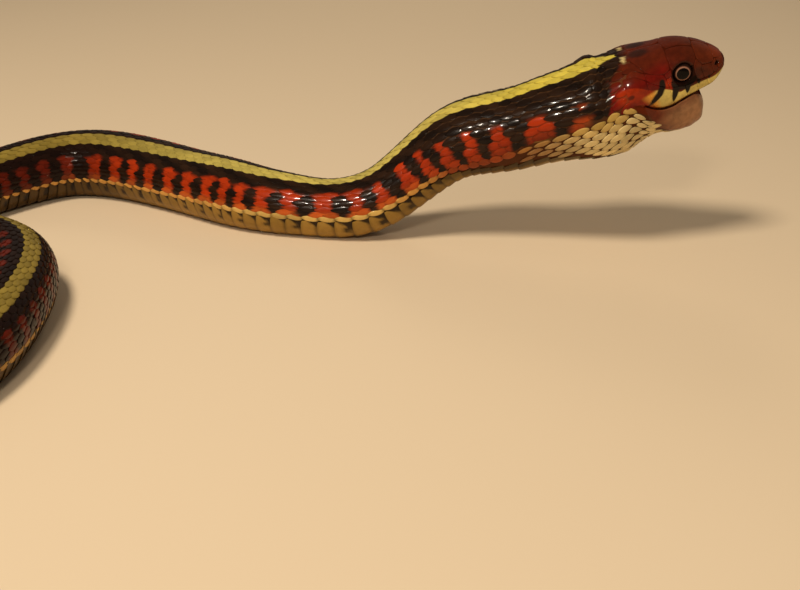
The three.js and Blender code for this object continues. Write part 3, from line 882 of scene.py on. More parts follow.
# %% The upper head's colours
def head_colour(x, y, z):
    """Colour of the upper head at a place in the head's own frame."""
    on_side = np.abs(y) > 0.6
    # painted light: the face is lightened by up to 40 % towards the tip of the snout
    crown = mix(MAROON, FACE, 0.6 * ramp(x, 5.6, 7.6)) * (1 + 0.4 * ramp(x, 7.6, 9))[..., None]
    low_temple = 1 - ramp(z, 2.1, 3.2)
    out = mix(crown, TEMPLE, low_temple * (1 - ramp(x, 4.4, 5.6)))
    smudge = inside(x, np.abs(y), *SMUDGE)
    behind = (1 - ramp(x, 1.9, 2.5)) * (1 - ramp(np.abs(y), 0.9, 1.7))
    out = mix(out, BLACK, 0.75 * np.maximum(smudge, behind) * (z > 2.5))
    nape = inside(x, np.abs(y), *NAPE_SPOT)
    out = mix(out, mix(CREAM, OLIVE, 0.3), 0.9 * nape * (z > 2.5))
    top = profile(LABIAL_TOP, x)
    lip = mix(LIP_CREAM, LIP_AMBER, 1 - ramp(x, 3.1, 3.7))
    lip = mix(lip, mix(RED, TEMPLE, 0.6), 1 - ramp(x + 0.5 * z, 2.6, 3.3))
    lip = mix(lip, mix(RED, TEMPLE, 0.2), ramp(z, 0.95, 1.2) * (1 - ramp(x, 3.3, 3.9)))
    lip = mix(lip, TEMPLE, (1 - ramp(z, 0.9, 1.5)) * (1 - ramp(x, 1.2, 2.1)))
    out = mix(out, lip, (1 - ramp(z, top - 0.06, top + 0.04)) * ramp(x, 0.2, 0.9))
    out = mix(out, RED, 0.8 * inside(x, z, *RED_SPOT) * on_side)
    round_eye = np.maximum(inside(x, z, *UNDER_EYE), inside(x, z, *BEHIND_EYE))
    out = mix(out, BLACK, 0.95 * round_eye * on_side)
    out = mix(out, BLACK, 0.45 * inside(x, z, *BEFORE_EYE) * on_side)
    for line, half in zip(BARS, BAR_HALVES):
        out = mix(out, BLACK, bar_at(x, z, line, half) * on_side)
    out = mix(out, BLACK, 0.7 * inside(x, z, *TEMPLE_BLOT) * on_side)
    orbit = np.hypot(x - EYE["x"], z - EYE["z"])
    out = mix(out, mix(BLACK, FACE, 0.15), (1 - ramp(orbit, 0.86, 1.0)) * (np.abs(y) > 0.8))
    # painted shade: the opening of the nostril is drawn nearly black in its shallow dent
    hole = np.hypot((x - NOSTRIL["x"]) / 1.2, z - NOSTRIL["z"])
    return mix(out, BLACK, 0.9 * (1 - ramp(hole, 0.12, 0.2)) * (np.abs(y) > 0.5))


# %% Colours of the lining, the throat and the belly
def lining_share(x, z):
    """1 where the lining of the mouth shows, on the lower jaw in front of a slanted edge."""
    edge = profile(LINING_EDGE, z)
    return ramp(x, edge - 0.06, edge + 0.06)


def lining_colour(x, z):
    # painted shade: the lining darkens towards the corner of the mouth and just under the upper lip
    painted_lip_shade = np.clip(1 - ramp(x + 0.25 * z, 1.5, 4.3) + 0.5 * ramp(z, -1.8, -0.9), 0, 1)
    rim = 0.45 * ramp(-z, 3.0, 3.9)
    return mix(mix(LINING, LINING_DEEP, painted_lip_shade), tint(128, 50, 32), rim)


def throat_colour(a, r):
    """Colour of a pale scale of the throat, ochre on top and cream below."""
    r = np.abs(r)
    out = mix(OCHRE, CREAM, ramp(r, 8.2, 10))
    out = mix(out, OCHRE, 0.5 * ramp(a, 2, 7))
    return mix(out, mix(RED, OCHRE, 0.3) * 0.5, 0.85 * ramp(a, 2, 7.5))


def belly_colour(a, r):
    r = np.abs(r)
    out = mix(TAN, BELLY, ramp(r, 13, 18))
    out = mix(out, CREAM, 0.6 * (1 - ramp(a, 2, 9)))
    # painted shade: the belly darkens to umber from 38 mm back
    out = mix(out, UMBER, 0.8 * ramp(a, 38, 52))
    return mix(out, UMBER, 0.3 * ramp(a, 5, 8) * (1 - ramp(a, 17, 22)))


# %% The head and the body together
COLLAR_EDGE = [(-1, -0.7), (1.2, -0.35), (1.68, -0.02), (2.52, 0.28), (3.2, 0.68), (3.6, 1.5), (4, 1.9)]


def upper_colour(a, r, points):
    """Colour of anything above the lip line: the head in front of the collar, else the body."""
    x, y, z = head_local(points)
    edge = profile(COLLAR_EDGE, z)
    on_head = ramp(x, edge - 0.06, edge + 0.06) * (a < 1)
    out = mix(body_colour(a, r), head_colour(x, y, z), on_head)
    stripe = mix(mix(YELLOW, LEMON, ramp(a, 6, 16)), OLIVE, 0.9 * ramp(a, 26, 56))
    half = STRIPE_ROWS * ramp(a, -2.0, 0.6)
    return mix(out, stripe, (1 - ramp(np.abs(r), half - 0.08, half + 0.02)) * (half > 0.2))


# %% [markdown]
# ## One finish for skin and coat
#
# What the skin and all the scales share is how their surface varies: a slightly different tone
# on every scale, a fine mottling, and a horn-like gloss that is broken by a fine grain. That is
# one node group, placed in each material with values of its own. The colour itself comes from
# the markings, which each mesh carries as an attribute.

# %% The group for scale finish
MOTTLING = (2600, 4)  # how many to a metre, and the detail, of each noise
BLOTCHES = (420, 2)
GRAIN = (9000, 3)


def scale_finish():
    group = bpy.data.node_groups.new("Scale finish", "ShaderNodeTree")
    sockets = (("Marking", "INPUT", "Color"), ("Tone", "INPUT", "Float"),
               ("Mottle", "INPUT", "Float"), ("Smoothness", "INPUT", "Float"),
               ("Colour", "OUTPUT", "Color"), ("Roughness", "OUTPUT", "Float"),
               ("Height", "OUTPUT", "Float"))
    for name, way, kind in sockets:
        group.interface.new_socket(name, in_out=way, socket_type=f"NodeSocket{kind}")
    nodes, links = group.nodes, group.links
    enter, leave = nodes.new("NodeGroupInput"), nodes.new("NodeGroupOutput")
    place = nodes.new("ShaderNodeTexCoord")

    def noise(scale, detail):
        node = nodes.new("ShaderNodeTexNoise")
        node.inputs["Scale"].default_value = scale
        node.inputs["Detail"].default_value = detail
        links.new(place.outputs["Object"], node.inputs["Vector"])
        return node.outputs["Fac"]

    def maths(operation, first, second, third=None):
        node = nodes.new("ShaderNodeMath")
        node.operation = operation
        for socket, value in zip(node.inputs, (first, second, third)):
            if isinstance(value, (int, float)):
                socket.default_value = value
            elif value is not None:
                links.new(value, socket)
        return node.outputs[0]

    mottling = maths("SUBTRACT", noise(*MOTTLING), 0.5)
    blotches = maths("SUBTRACT", noise(*BLOTCHES), 0.5)
    uneven = maths("MULTIPLY", maths("ADD", mottling, blotches), enter.outputs["Mottle"])
    lightness = maths("MULTIPLY_ADD", enter.outputs["Tone"], 0.16, 1.0)
    lightness = maths("MULTIPLY_ADD", uneven, 1.2, lightness)
    shade = nodes.new("ShaderNodeHueSaturation")
    links.new(lightness, shade.inputs["Value"])
    links.new(enter.outputs["Marking"], shade.inputs["Color"])
    links.new(shade.outputs["Color"], leave.inputs["Colour"])
    grain = noise(*GRAIN)
    dull = maths("SUBTRACT", 1.0, enter.outputs["Smoothness"])
    links.new(maths("MULTIPLY_ADD", grain, 0.16, dull), leave.inputs["Roughness"])
    links.new(maths("MULTIPLY_ADD", mottling, 0.6, grain), leave.inputs["Height"])
    return group


FINISH = scale_finish()


# %% Materials of the snake
GLOSS = 0.05
COAT_ROUGHNESS = 0.12
BUMP_DISTANCE = 0.00003


def scale_material(name, mottle, smoothness, bump, coat):
    """A material that takes its colour from the markings of the mesh."""
    material = bpy.data.materials.new(name)
    material.use_nodes = True
    nodes, links = material.node_tree.nodes, material.node_tree.links
    shader = nodes["Principled BSDF"]
    finish = nodes.new("ShaderNodeGroup")
    finish.node_tree = FINISH
    finish.inputs["Mottle"].default_value = mottle
    finish.inputs["Smoothness"].default_value = smoothness
    for attribute, output, socket in (("marking", "Color", "Marking"), ("tone", "Fac", "Tone")):
        reader = nodes.new("ShaderNodeAttribute")
        reader.attribute_name = attribute
        links.new(reader.outputs[output], finish.inputs[socket])
    relief_node = nodes.new("ShaderNodeBump")
    relief_node.inputs["Strength"].default_value = bump
    relief_node.inputs["Distance"].default_value = BUMP_DISTANCE
    links.new(finish.outputs["Height"], relief_node.inputs["Height"])
    links.new(finish.outputs["Colour"], shader.inputs["Base Color"])
    links.new(finish.outputs["Roughness"], shader.inputs["Roughness"])
    links.new(relief_node.outputs["Normal"], shader.inputs["Normal"])
    shader.inputs["Specular IOR Level"].default_value = GLOSS
    shader.inputs["Coat Weight"].default_value = coat
    shader.inputs["Coat Roughness"].default_value = COAT_ROUGHNESS
    return material


SCALE_COAT = scale_material("glossy scale", 0.35, 0.74, 0.3, 0.25)
HEAD_COAT = scale_material("head shield", 0.7, 0.72, 0.3, 0.3)
SKIN_COAT = scale_material("skin between scales", 0.4, 0.5, 0.4, 0.05)
MOUTH_COAT = scale_material("inside of the mouth", 0.5, 0.2, 0.3, 0.0)
LINING_COAT = scale_material("wet lining", 0.7, 0.62, 0.5, 0.35)
print("materials of the snake:", [m.name for m in bpy.data.materials if m.users])


# %% Floor finish
FLOOR_COLOUR = (0.78, 0.61, 0.42, 1)


def floor_finish():
    material = bpy.data.materials.new("pale floor")
    material.use_nodes = True
    shader = material.node_tree.nodes["Principled BSDF"]
    shader.inputs["Base Color"].default_value = FLOOR_COLOUR
    shader.inputs["Roughness"].default_value = 0.75
    return material


floor.data.materials.append(floor_finish())


# %% Meshes from arrays
def new_piece(name, points, faces, colours, tones, materials, face_materials=None):
    """An object from points in millimetres, with its markings as attributes."""
    mesh = bpy.data.meshes.new(name)
    mesh.from_pydata(((points + SHIFT) * MM).tolist(), [], faces)
    paint = mesh.attributes.new("marking", "FLOAT_COLOR", "POINT")
    rgba = np.concatenate([colours, np.ones((len(colours), 1))], 1).astype(np.float32)
    paint.data.foreach_set("color", rgba.ravel())
    tone = mesh.attributes.new("tone", "FLOAT", "POINT")
    tone.data.foreach_set("value", np.asarray(tones, np.float32))
    for material in materials:
        mesh.materials.append(material)
    if face_materials is not None:
        mesh.polygons.foreach_set("material_index", face_materials)
    mesh.polygons.foreach_set("use_smooth", [True] * len(mesh.polygons))
    mesh.update()
    piece = bpy.data.objects.new(name, mesh)
    bpy.context.collection.objects.link(piece)
    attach(piece, "root")
    return piece


def recalculate_normals(piece):
    clear_selection()
    bpy.context.view_layer.objects.active = piece
    piece.select_set(True)
    bpy.ops.object.mode_set(mode="EDIT")
    bpy.ops.mesh.select_all(action="SELECT")
    bpy.ops.mesh.normals_make_consistent(inside=False)
    bpy.ops.object.mode_set(mode="OBJECT")
    clear_selection()


# %% [markdown]
# ## The skin
#
# One closed surface from the snout to the tip of the tail, with the inside of the mouth turned
# in at the lips. It replaces every fleshy solid, so that no cut between two lengths shows.
# Booleans could cut a mouth into a closed head, but they leave ragged faces at the lips. Here
# the rows of the upper head and of the lower jaw simply split at the corner of the mouth, and
# a pocket behind it joins the palate to the floor.

# %% Points and faces of the skin
OUTSIDE, LINED, MOUTH = range(3)      # the skin's materials


def skin_piece():
    rings, per_ring = around.shape[:2]
    inner = upper.shape[1] - OUTER
    points = [around.reshape(-1, 3), upper.reshape(-1, 3), lower.reshape(-1, 3), pocket]
    starts = np.cumsum([0] + [len(block) for block in points])
    ring_ids = np.arange(rings * per_ring).reshape(rings, per_ring)
    upper_ids = starts[1] + np.arange(len(upper) * upper.shape[1]).reshape(len(upper), -1)
    lower_ids = starts[2] + np.arange(len(lower) * lower.shape[1]).reshape(len(lower), -1)
    pocket_ids = starts[3] + np.arange(inner)
    first_upper = np.concatenate([ring_ids[0, ring_order], pocket_ids])
    first_lower = np.concatenate([ring_ids[0, under_order], pocket_ids[::-1]])
    lower_ids = np.concatenate([lower_ids[:, :OUTER], lower_ids[:, OUTER:][:, ::-1]], 1)
    lofts = [ring_ids, np.vstack([first_upper, upper_ids]), np.vstack([first_lower, lower_ids])]
    faces, materials, ends = [], [], []
    total = starts[4]
    for number, rows in enumerate(lofts):
        ahead, behind = rows[:-1], rows[1:]
        quads = np.stack([ahead, np.roll(ahead, -1, 1), np.roll(behind, -1, 1), behind], -1)
        part = np.full(quads.shape[:2], LINED if number == 2 else OUTSIDE)
        if number:
            part[:, OUTER - 1:] = MOUTH
        faces += quads.reshape(-1, 4).tolist()
        materials += part.ravel().tolist()
        tip = total + len(ends)
        last = rows[-1]
        faces += [(int(p), int(q), tip) for p, q in zip(last, np.roll(last, -1))]
        materials += [OUTSIDE] * len(last)
        ends.append(np.vstack(points)[last].mean(0))
    everything = np.vstack([*points, np.array(ends)])
    return everything, faces, np.array(materials), starts


# %% Colours of the skin, between the scales
SEAM_SHADE = 0.55     # the skin of the body is darker than its scales, and that of the head
HEAD_SHADE = 0.6
FLANK_EDGE = 8.4      # the flank's colours end at this row


def ring_colours(points):
    """Colours of the rings of the body, from the back round to the belly."""
    a, columns = (each.ravel() for each in np.meshgrid(around_a, np.arange(ALL_COLUMNS), indexing="ij"))
    r = row_at(a, columns)
    stripe = (1 - ramp(r, 1.5, 1.6)) * ramp(a, 0.2, 1.2)
    between = (1 - ramp(a, 13, 19))[:, None]
    over = mix(upper_colour(a, r, points) * SEAM_SHADE + between * SKIN_BROWN * 0.5, STRIPE_SEAM, stripe)
    edge = np.where(a > THROAT_REAR, FLANK_EDGE, row_at(a, throat_column(a, 0) - 2))
    under = mix(THROAT_SKIN, BLACK, ramp(a, 10, 16))
    out = mix(over, under, ramp(r, edge - 0.2, edge + 0.2))
    x, _, z = head_local(points)
    return mix(out, lining_colour(x, z), lining_share(x, z) * (z < profile(LIP, x)) * (a < 0))


def skin_colours(points, starts):
    """Colours of the rings, of the upper head, of the lower jaw and of the rest inside."""
    rings, head, jaw, rest = (points[p:q] for p, q in zip(starts, [*starts[1:4], len(points)]))
    x, y, z = head_local(head)
    head_paint = head_colour(x, y, z) * HEAD_SHADE
    head_paint[np.arange(len(x)) % upper.shape[1] >= OUTER] = PALATE
    x, _, z = head_local(jaw)
    jaw_paint = mix(np.broadcast_to(THROAT_SKIN, (len(x), 3)), lining_colour(x, z), lining_share(x, z))
    jaw_paint[np.arange(len(x)) % lower.shape[1] >= OUTER] = mix(LINING, PALATE, 0.5)
    return np.vstack([ring_colours(rings), head_paint, jaw_paint, np.tile(LINING_DEEP, (len(rest), 1))])


# %% Make the skin
skin_points, skin_faces, skin_materials, skin_starts = skin_piece()
skin_paint = skin_colours(skin_points, skin_starts)
skin = new_piece("skin", skin_points, skin_faces, skin_paint, np.zeros(len(skin_points)),
                 [SKIN_COAT, LINING_COAT, MOUTH_COAT], skin_materials)
recalculate_normals(skin)
flesh = ["head", "lower_jaw", "neck"]
flesh += [name for name in sorted(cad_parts) if name.startswith(("body_", "tail_"))]
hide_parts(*flesh)
print("skin:", len(skin.data.polygons), "faces")

# %% [markdown]
# ## One scale, modelled
#
# There are more than three thousand scales, and they differ only in size, place and colour. So
# one scale is modelled once: a disc is pulled up to a thin plate, its top is drawn in twice so
# that the rim is soft, the middle is poked, and the points on the long axis are raised to the
# keel that gives a garter snake its rough feel. A rounder one without a keel serves the throat,
# and a broad strip serves the belly.

# %% Patterns for a scale, a throat scale and a belly plate
def read_pattern(piece):
    """Points and faces of a modelled pattern, which is then thrown away."""
    clear_selection()
    points = np.array([vertex.co[:] for vertex in piece.data.vertices])
    faces = [tuple(face.vertices) for face in piece.data.polygons]
    mesh = piece.data
    bpy.data.objects.remove(piece)
    bpy.data.meshes.remove(mesh)
    return points, faces


def scale_pattern(corners, keel, pointed):
    clear_selection()
    bpy.ops.mesh.primitive_circle_add(vertices=corners, radius=0.5, fill_type="NGON")
    piece = bpy.context.object
    bpy.ops.object.mode_set(mode="EDIT")
    bpy.ops.mesh.select_all(action="SELECT")
    bpy.ops.mesh.extrude_region_move(TRANSFORM_OT_translate={"value": (0, 0, 0.45)})
    bpy.ops.mesh.inset(thickness=0.05, depth=0.3)
    bpy.ops.mesh.inset(thickness=0.18, depth=0.1)
    bpy.ops.mesh.poke(offset=0.06)
    bpy.ops.mesh.select_all(action="SELECT")
    bpy.ops.mesh.normals_make_consistent(inside=False)
    bpy.ops.object.mode_set(mode="OBJECT")
    for vertex in piece.data.vertices:
        x, y, z = vertex.co
        if abs(y) < 0.02 and z > 0.6:
            vertex.co.z += keel
        vertex.co.y = y * (1 - pointed * max(2 * x, 0) ** 2 - 0.15 * max(-2 * x, 0) ** 2)
    return read_pattern(piece)


def belly_pattern(across):
    clear_selection()
    bpy.ops.mesh.primitive_grid_add(x_subdivisions=8, y_subdivisions=across, size=1)
    piece = bpy.context.object
    bpy.ops.object.mode_set(mode="EDIT")
    bpy.ops.mesh.select_all(action="SELECT")
    bpy.ops.mesh.extrude_region_move(TRANSFORM_OT_translate={"value": (0, 0, 1)})
    bpy.ops.mesh.select_all(action="SELECT")
    bpy.ops.mesh.normals_make_consistent(inside=False)
    bpy.ops.object.mode_set(mode="OBJECT")
    for vertex in piece.data.vertices:
        x, y, z = vertex.co
        y = vertex.co.y = 0.5 * math.sin(math.pi * y)
        vertex.co.x = x * (1 - 0.15 * (2 * abs(y)) ** 14)
        rim = max((2 * abs(x)) ** 8, (2 * abs(y)) ** 30)
        vertex.co.z = z * (1 - 0.4 * rim)
    return read_pattern(piece)


BACK_SCALE = scale_pattern(corners=14, keel=1.3, pointed=0.42)
THROAT_SCALE = scale_pattern(corners=16, keel=0.0, pointed=0.3)
BELLY_PLATE = belly_pattern(across=24)
TAIL_PLATE = belly_pattern(across=10)
for label, pattern in (("scale", BACK_SCALE), ("throat scale", THROAT_SCALE),
                       ("belly plate", BELLY_PLATE), ("tail plate", TAIL_PLATE)):
    print(label, "pattern:", len(pattern[0]), "points,", len(pattern[1]), "faces")


# %% Set a pattern on the skin many times
PATCH = 0.004         # size of a scale on the map for baking
WIDE_PATCH = 0.008
SKEW = 0.02           # how far scales are turned and lifted by chance
UNEVEN = 0.08
rng = np.random.default_rng(1907)


class Coat:
    """Collects scales as arrays, and makes one piece of them."""

    def __init__(self):
        self.points, self.faces, self.colours, self.tones, self.maps = [], [], [], [], []
        self.count = 0

    def add(self, sheet, pattern, a, b, length, width, lifts, thick, paint, root_map, patch=PATCH,
            bend=None):
        """Scales at stations a and columns b. The lifts are the heights of root and tip.

        paint gives the colours from each scale's own a and b and from each point's station,
        column, place u along the scale, and place in the room. bend moves the points of a
        station by so many columns.
        """
        shape, faces = pattern
        u, v, w = shape.T
        a, b, length, width = (np.asarray(each, float)[:, None] for each in (a, b, length, width))
        skew = rng.normal(0, SKEW, (len(a), 1))
        station = a + u * length
        column = b + (v + skew * u) * width
        if bend:
            column = column + bend(station)
        lift = lifts[0] + (lifts[1] - lifts[0]) * (u + 0.5)
        lift = lift * (1 + rng.normal(0, UNEVEN, (len(a), 1))) * np.ones_like(station)
        points = sheet.at(station, column, lift + w * thick).reshape(-1, 3)
        points[:, 2] = np.maximum(points[:, 2], 0)
        self.points.append(points)
        self.colours.append(paint(a, b, station, column, u, points.reshape(*station.shape, 3)))
        self.tones.append(np.repeat(rng.uniform(-1, 1, len(a)), len(u)))
        spot = np.stack([u, v], 1) * patch
        self.maps.append((root_map(a[:, 0], b[:, 0])[:, None, :] + spot[None]).reshape(-1, 2))
        for number in range(len(a)):
            start = self.count + number * len(u)
            self.faces += [tuple(start + corner for corner in face) for face in faces]
        self.count += len(points)

    def piece(self, name):
        made = new_piece(name, np.vstack(self.points), self.faces,
                         np.vstack([c.reshape(-1, 3) for c in self.colours]),
                         np.concatenate(self.tones), [SCALE_COAT])
        add_map(made, np.vstack(self.maps))
        mesh = made.data
        triangles = sum(len(face.vertices) - 2 for face in mesh.polygons)
        print(name, "has", triangles, "triangles")
        return made


def add_map(piece, per_point):
    """The map OFBake, from one place for each point."""
    layer = piece.data.uv_layers.new(name="OFBake")
    corner = np.empty(len(piece.data.loops), int)
    piece.data.loops.foreach_get("vertex_index", corner)
    layer.data.foreach_set("uv", np.clip(per_point, 0, 1)[corner].ravel().astype(np.float32))


def unwrap_between(start, end):
    """Place of a root on an unwrap of the skin between two stations: along, and around."""
    def root_map(a, b):
        along = (a - start) / (end - start)
        return np.stack([0.02 + 0.96 * along, 0.02 + 0.96 * (b % ALL_COLUMNS) / ALL_COLUMNS], 1)
    return root_map


# %% [markdown]
# ## The coat of keeled scales
#
# Nineteen rows run round the back and flanks, and every second row is set back by half a scale,
# so that they interlock. Each scale is sunk into the skin at its root and lifted at its tip,
# over the root of the next one. Towards the tail rows drop out, as they do on the real snake.
# The particle system could scatter them, but they would lie at random: rows need counting.

# %% Keeled scales of the back and flanks
ROW_COUNTS = [(-3, 19), (95, 17), (138, 15), (156, 13), (168, 9), (184, 7), (196, 5)]
BACK_ROWS = 9.5       # rows from the middle of the back to the belly plates
SCALE_LENGTH = 1.5    # length of a scale over the distance between scales
SCALE_THICK = 0.035
SCALE_LIFTS = (-0.03, 0.055)
THICK_BODY = 1.2      # where the body is thinner than this, its scales are too
PARIETAL_END = -2.25  # the scales start behind the shields, further back on the temples
TEMPLE_END = -1.25
TEMPLE_COLUMN = 21
HEAD_GRID_END = -1.3  # scales in front of this are set on the head's grid


def back_paint(a, b, station, column, u, points):
    blend_a = 0.35 * a + 0.65 * station
    blend_r = row_at(blend_a, 0.35 * b + 0.65 * column)
    colour = upper_colour(blend_a, blend_r, points)
    seam = ramp(np.abs(u), 0.36, 0.5)[None, :] * np.ones_like(station)
    return colour * (1 - 0.3 * seam[..., None])


def back_scales(name, start, end):
    coat = Coat()
    where = unwrap_between(start - 1, end + 1)
    for number in range(int(count_at(start)) - 1, int(count_at(end)) + 2):
        at = place_of(number)
        rows = [count for station, count in ROW_COUNTS if station <= max(at, -3)][-1]
        spacing = 2 * BACK_ROWS / rows
        k = np.arange(-(rows // 2), rows // 2 + 1)
        a = place_of(number + 0.5 * (k % 2))
        b = np.sign(k) * column_of(a, spacing * np.abs(k))
        first = np.where(np.abs(b) < TEMPLE_COLUMN, PARIETAL_END, TEMPLE_END)
        keep = (a >= start) & (a < end) & (a > first) & (a < TAIL_TIP - 0.5)
        if rows == 19:
            keep &= np.abs(k) < 9
        keep &= (a > THROAT_REAR) | (np.abs(b) < throat_column(a, 0) - 1.8)
        a, b, k = a[keep], b[keep], k[keep]
        if not len(a):
            continue
        size = np.minimum(1, profile(GIRTH, np.maximum(a, 0)) / THICK_BODY)
        apart = (1 - ramp(a, 13, 19)) * (np.abs(k) > 1)
        width = ROW * spacing * (1.3 - 0.26 * apart) * np.where(np.abs(k) < 2, 1, profile(STRETCH, a))
        length = profile(PITCH, a) * (SCALE_LENGTH - 0.2 * apart)
        for near_head in (True, False):
            part = (a < HEAD_GRID_END) == near_head
            if not part.any():
                continue
            sheet = OVER if near_head else AROUND
            lifts = [lift * size.mean() for lift in SCALE_LIFTS]
            coat.add(sheet, BACK_SCALE, a[part], b[part], length[part], width[part], lifts,
                     SCALE_THICK * size.mean(), back_paint, where)
    return coat.piece(name)


for name, start, end in (("scales_neck", -3, 30), ("scales_fore", 30, 68),
                         ("scales_middle", 68, 110), ("scales_rear", 110, VENT),
                         ("scales_tail", VENT, TAIL_TIP)):
    back_scales(name, start, end)

# %% [markdown]
# ## Throat scales and the pale line along the side
#
# When a snake swallows, the skin of its throat stretches and its scales draw apart, so that
# brown skin shows between pale ovals. They lie in rows of their own under the flank. Behind the
# throat the belly plates grow wider and cut these rows off one by one, until only the first is
# left: it runs on as the pale line along the side.

# %% Throat scales
THROAT_END = 8        # behind it the first row runs on as the pale line
THROAT_PITCH = 1.4
SIDE_ROW = 8.87
SIDE_SLANT = 1.3      # columns that a scale of the pale line sinks over its length
THROAT_LIFTS = (-0.02, 0.05)
THROAT_THICK = 0.05


def throat_paint(a, b, station, column, u, points):
    everywhere = np.ones_like(station)
    r = row_at(a, b) * everywhere
    near = throat_colour(a * everywhere, r)
    far = body_colour(0.5 * (a + station), THROAT_ROW * everywhere)
    out = mix(near, far, ramp(a, 5, 9) * (r < 9.4))
    edge = ramp(np.abs(u), 0.3, 0.5)[None, :] * (0.3 + 0.3 * ramp(a, 12, 18))
    return out * (1 - edge[..., None])


def throat_stations(row, last):
    """Places of a row's scales, at even steps along its line, which rises and sinks."""
    a = last - THROAT_PITCH * (1 + 0.5 * (row % 2))
    while a > throat_a[0] + 0.5:
        rise = (throat_column(a + 0.2, row) - throat_column(a - 0.2, row)) * COLUMN_SIZE / 0.4
        level = 1 / math.hypot(1, rise)
        yield a, level
        a -= THROAT_PITCH * level


def mirrored_column(column, side):
    """The same column on the left side of the snake, or on the right."""
    return column if side > 0 else ALL_COLUMNS - column


def add_throat_scale(coat, where, side, row, a, level):
    column = float(throat_column(a, row))
    if np.interp(a, throat_a, throat_reach[row]) < 0.15:
        return
    if row and a > -0.8 and column + 1.6 > column_of(a, profile(VENTRAL_EDGE, a)):
        return
    sheet = UNDER if a < -CORNER or (a < -1.6 and column > LIP_COLUMN + 2) else AROUND
    x, _, z = head_local(sheet.at(a, column, 0.0))
    if lining_share(x, z) > 0.3 or x > 5.6:
        return

    def bend(station):
        return side * (throat_column(station, row) - column)

    coat.add(sheet, THROAT_SCALE, [a], [mirrored_column(column, side)], [1.3 * level],
             [3.9 - float(ramp(a, 2, 8))], THROAT_LIFTS, THROAT_THICK, throat_paint, where, bend=bend)


def throat_scales():
    coat = Coat()
    where = unwrap_between(-7, VENT + 1)
    numbers = np.arange(np.ceil(count_at(THROAT_END)), count_at(VENT)) + 0.5
    for side in (1, -1):
        for row in range(THROAT_ROWS):
            for a, level in throat_stations(row, float(place_of(numbers[0]))):
                add_throat_scale(coat, where, side, row, a, level)
        a = place_of(numbers)
        b = column_of(a, SIDE_ROW)
        broad = ramp(a, 15, 18) * (1 - ramp(a, 34, 40))
        slant = SIDE_SLANT * side * broad[:, None]
        coat.add(AROUND, THROAT_SCALE, a, mirrored_column(b, side),
                 profile(PITCH, a) * 1.12, ROW * profile(STRETCH, a) * (1.04 + 0.12 * broad),
                 THROAT_LIFTS, THROAT_THICK, throat_paint, where,
                 bend=lambda station: -slant * (station - a[:, None]))
    return coat.piece("throat_scales")


throat_scales()

# %% [markdown]
# ## Belly plates
#
# The belly carries one broad plate for each row of scales, from side to side, and the snake
# walks on their rear edges. Under the tail they are paired. Each end shows beside the body as a
# tan square with a black wedge at its front corner.

# %% Marks on the ends of the plates
def plate_marks(a, b, r, u):
    """Black on a belly plate: a wedge and a notch at its end, a shade in front and a band."""
    edge = profile(VENTRAL_EDGE, a)
    beat = np.sin(count_at(a) * 2.4 + (b > HALF_COLUMNS))
    fade = 1 - ramp(a, 60, 90)
    slant = 0.32 + 0.1 * beat - 0.36 * (r - edge) - u
    wedge = ramp(slant, 0, 0.12) * ramp(a, 12, 17) * (0.5 + 0.5 * fade)
    notch = ramp(0.16 - u, 0, 0.1) * (1 - ramp(np.abs(r - edge - 2.0), 0.45, 0.6))
    notch = notch * (np.sin(count_at(a) * 2.9 + 1) > 0.1) * ramp(a, 15, 20) * fade
    band = (1 - ramp(r - edge, 0.6, 1.6)) * (1 - ramp(a, 12, 17))
    front = ramp(-u, 0.16, 0.3) * ramp(a, 12, 17)
    marks = np.broadcast_arrays(0.95 * wedge, 0.9 * notch, 0.75 * band, 0.6 * front)
    return np.clip(np.max(marks, axis=0), 0, 1)


def belly_paint(a, b, station, column, u, points):
    r = row_at(a, column)
    out = mix(belly_colour(station, r), BLACK, plate_marks(a, b, r, u[None, :]))
    rear = ramp(u, 0.35, 0.5)[None, :] * np.ones_like(station)
    return out * (1 - 0.25 * rear[..., None])


# %% Belly and tail plates
PLATE_LIFTS = (-0.05, 0.065)
PLATE_THICK = 0.055
PLATE_LENGTH = 1.22   # length of a plate over the distance between plates
TAIL_LIFTS = (-0.03, 0.04)
TAIL_THICK = 0.045
TAIL_LENGTH = 1.25
RIM_DEGREES = 50      # edges sharper than this stay sharp


def belly_plates(name, start, end):
    coat = Coat()
    where = unwrap_between(start - 1, end + 1)
    for number in range(int(count_at(start)), int(count_at(end))):
        a = float(place_of(number + 0.5))
        pitch = float(place_of(number + 1) - place_of(number))
        span = HALF_COLUMNS - column_of(a, profile(VENTRAL_EDGE, a)) - 0.3
        coat.add(AROUND, BELLY_PLATE, [a], [HALF_COLUMNS], [pitch * PLATE_LENGTH], [2 * span],
                 PLATE_LIFTS, PLATE_THICK, belly_paint, where, WIDE_PATCH)
    made = coat.piece(name)
    clear_selection()
    bpy.context.view_layer.objects.active = made
    made.select_set(True)
    bpy.ops.object.shade_smooth_by_angle(angle=math.radians(RIM_DEGREES))
    clear_selection()
    return made


def tail_plates():
    coat = Coat()
    where = unwrap_between(VENT - 1, TAIL_TIP)
    for number in range(int(count_at(VENT)), int(count_at(TAIL_TIP - 0.8))):
        for side in (1, -1):
            a = float(place_of(number + 0.5 + 0.25 * side))
            pitch = float(place_of(number + 1) - place_of(number))
            size = min(1, float(profile(GIRTH, a)) / THICK_BODY)
            span = HALF_COLUMNS - ROW * BACK_ROWS
            b = HALF_COLUMNS - side * span / 2
            lifts = [lift * size for lift in TAIL_LIFTS]
            coat.add(AROUND, TAIL_PLATE, [a], [b], [pitch * TAIL_LENGTH], [span * 0.98], lifts,
                     TAIL_THICK * size, belly_paint, where)
    return coat.piece("tail_plates")


belly_plates("belly_plates_fore", -0.8, 80)
belly_plates("belly_plates_rear", 80, VENT)
tail_plates()

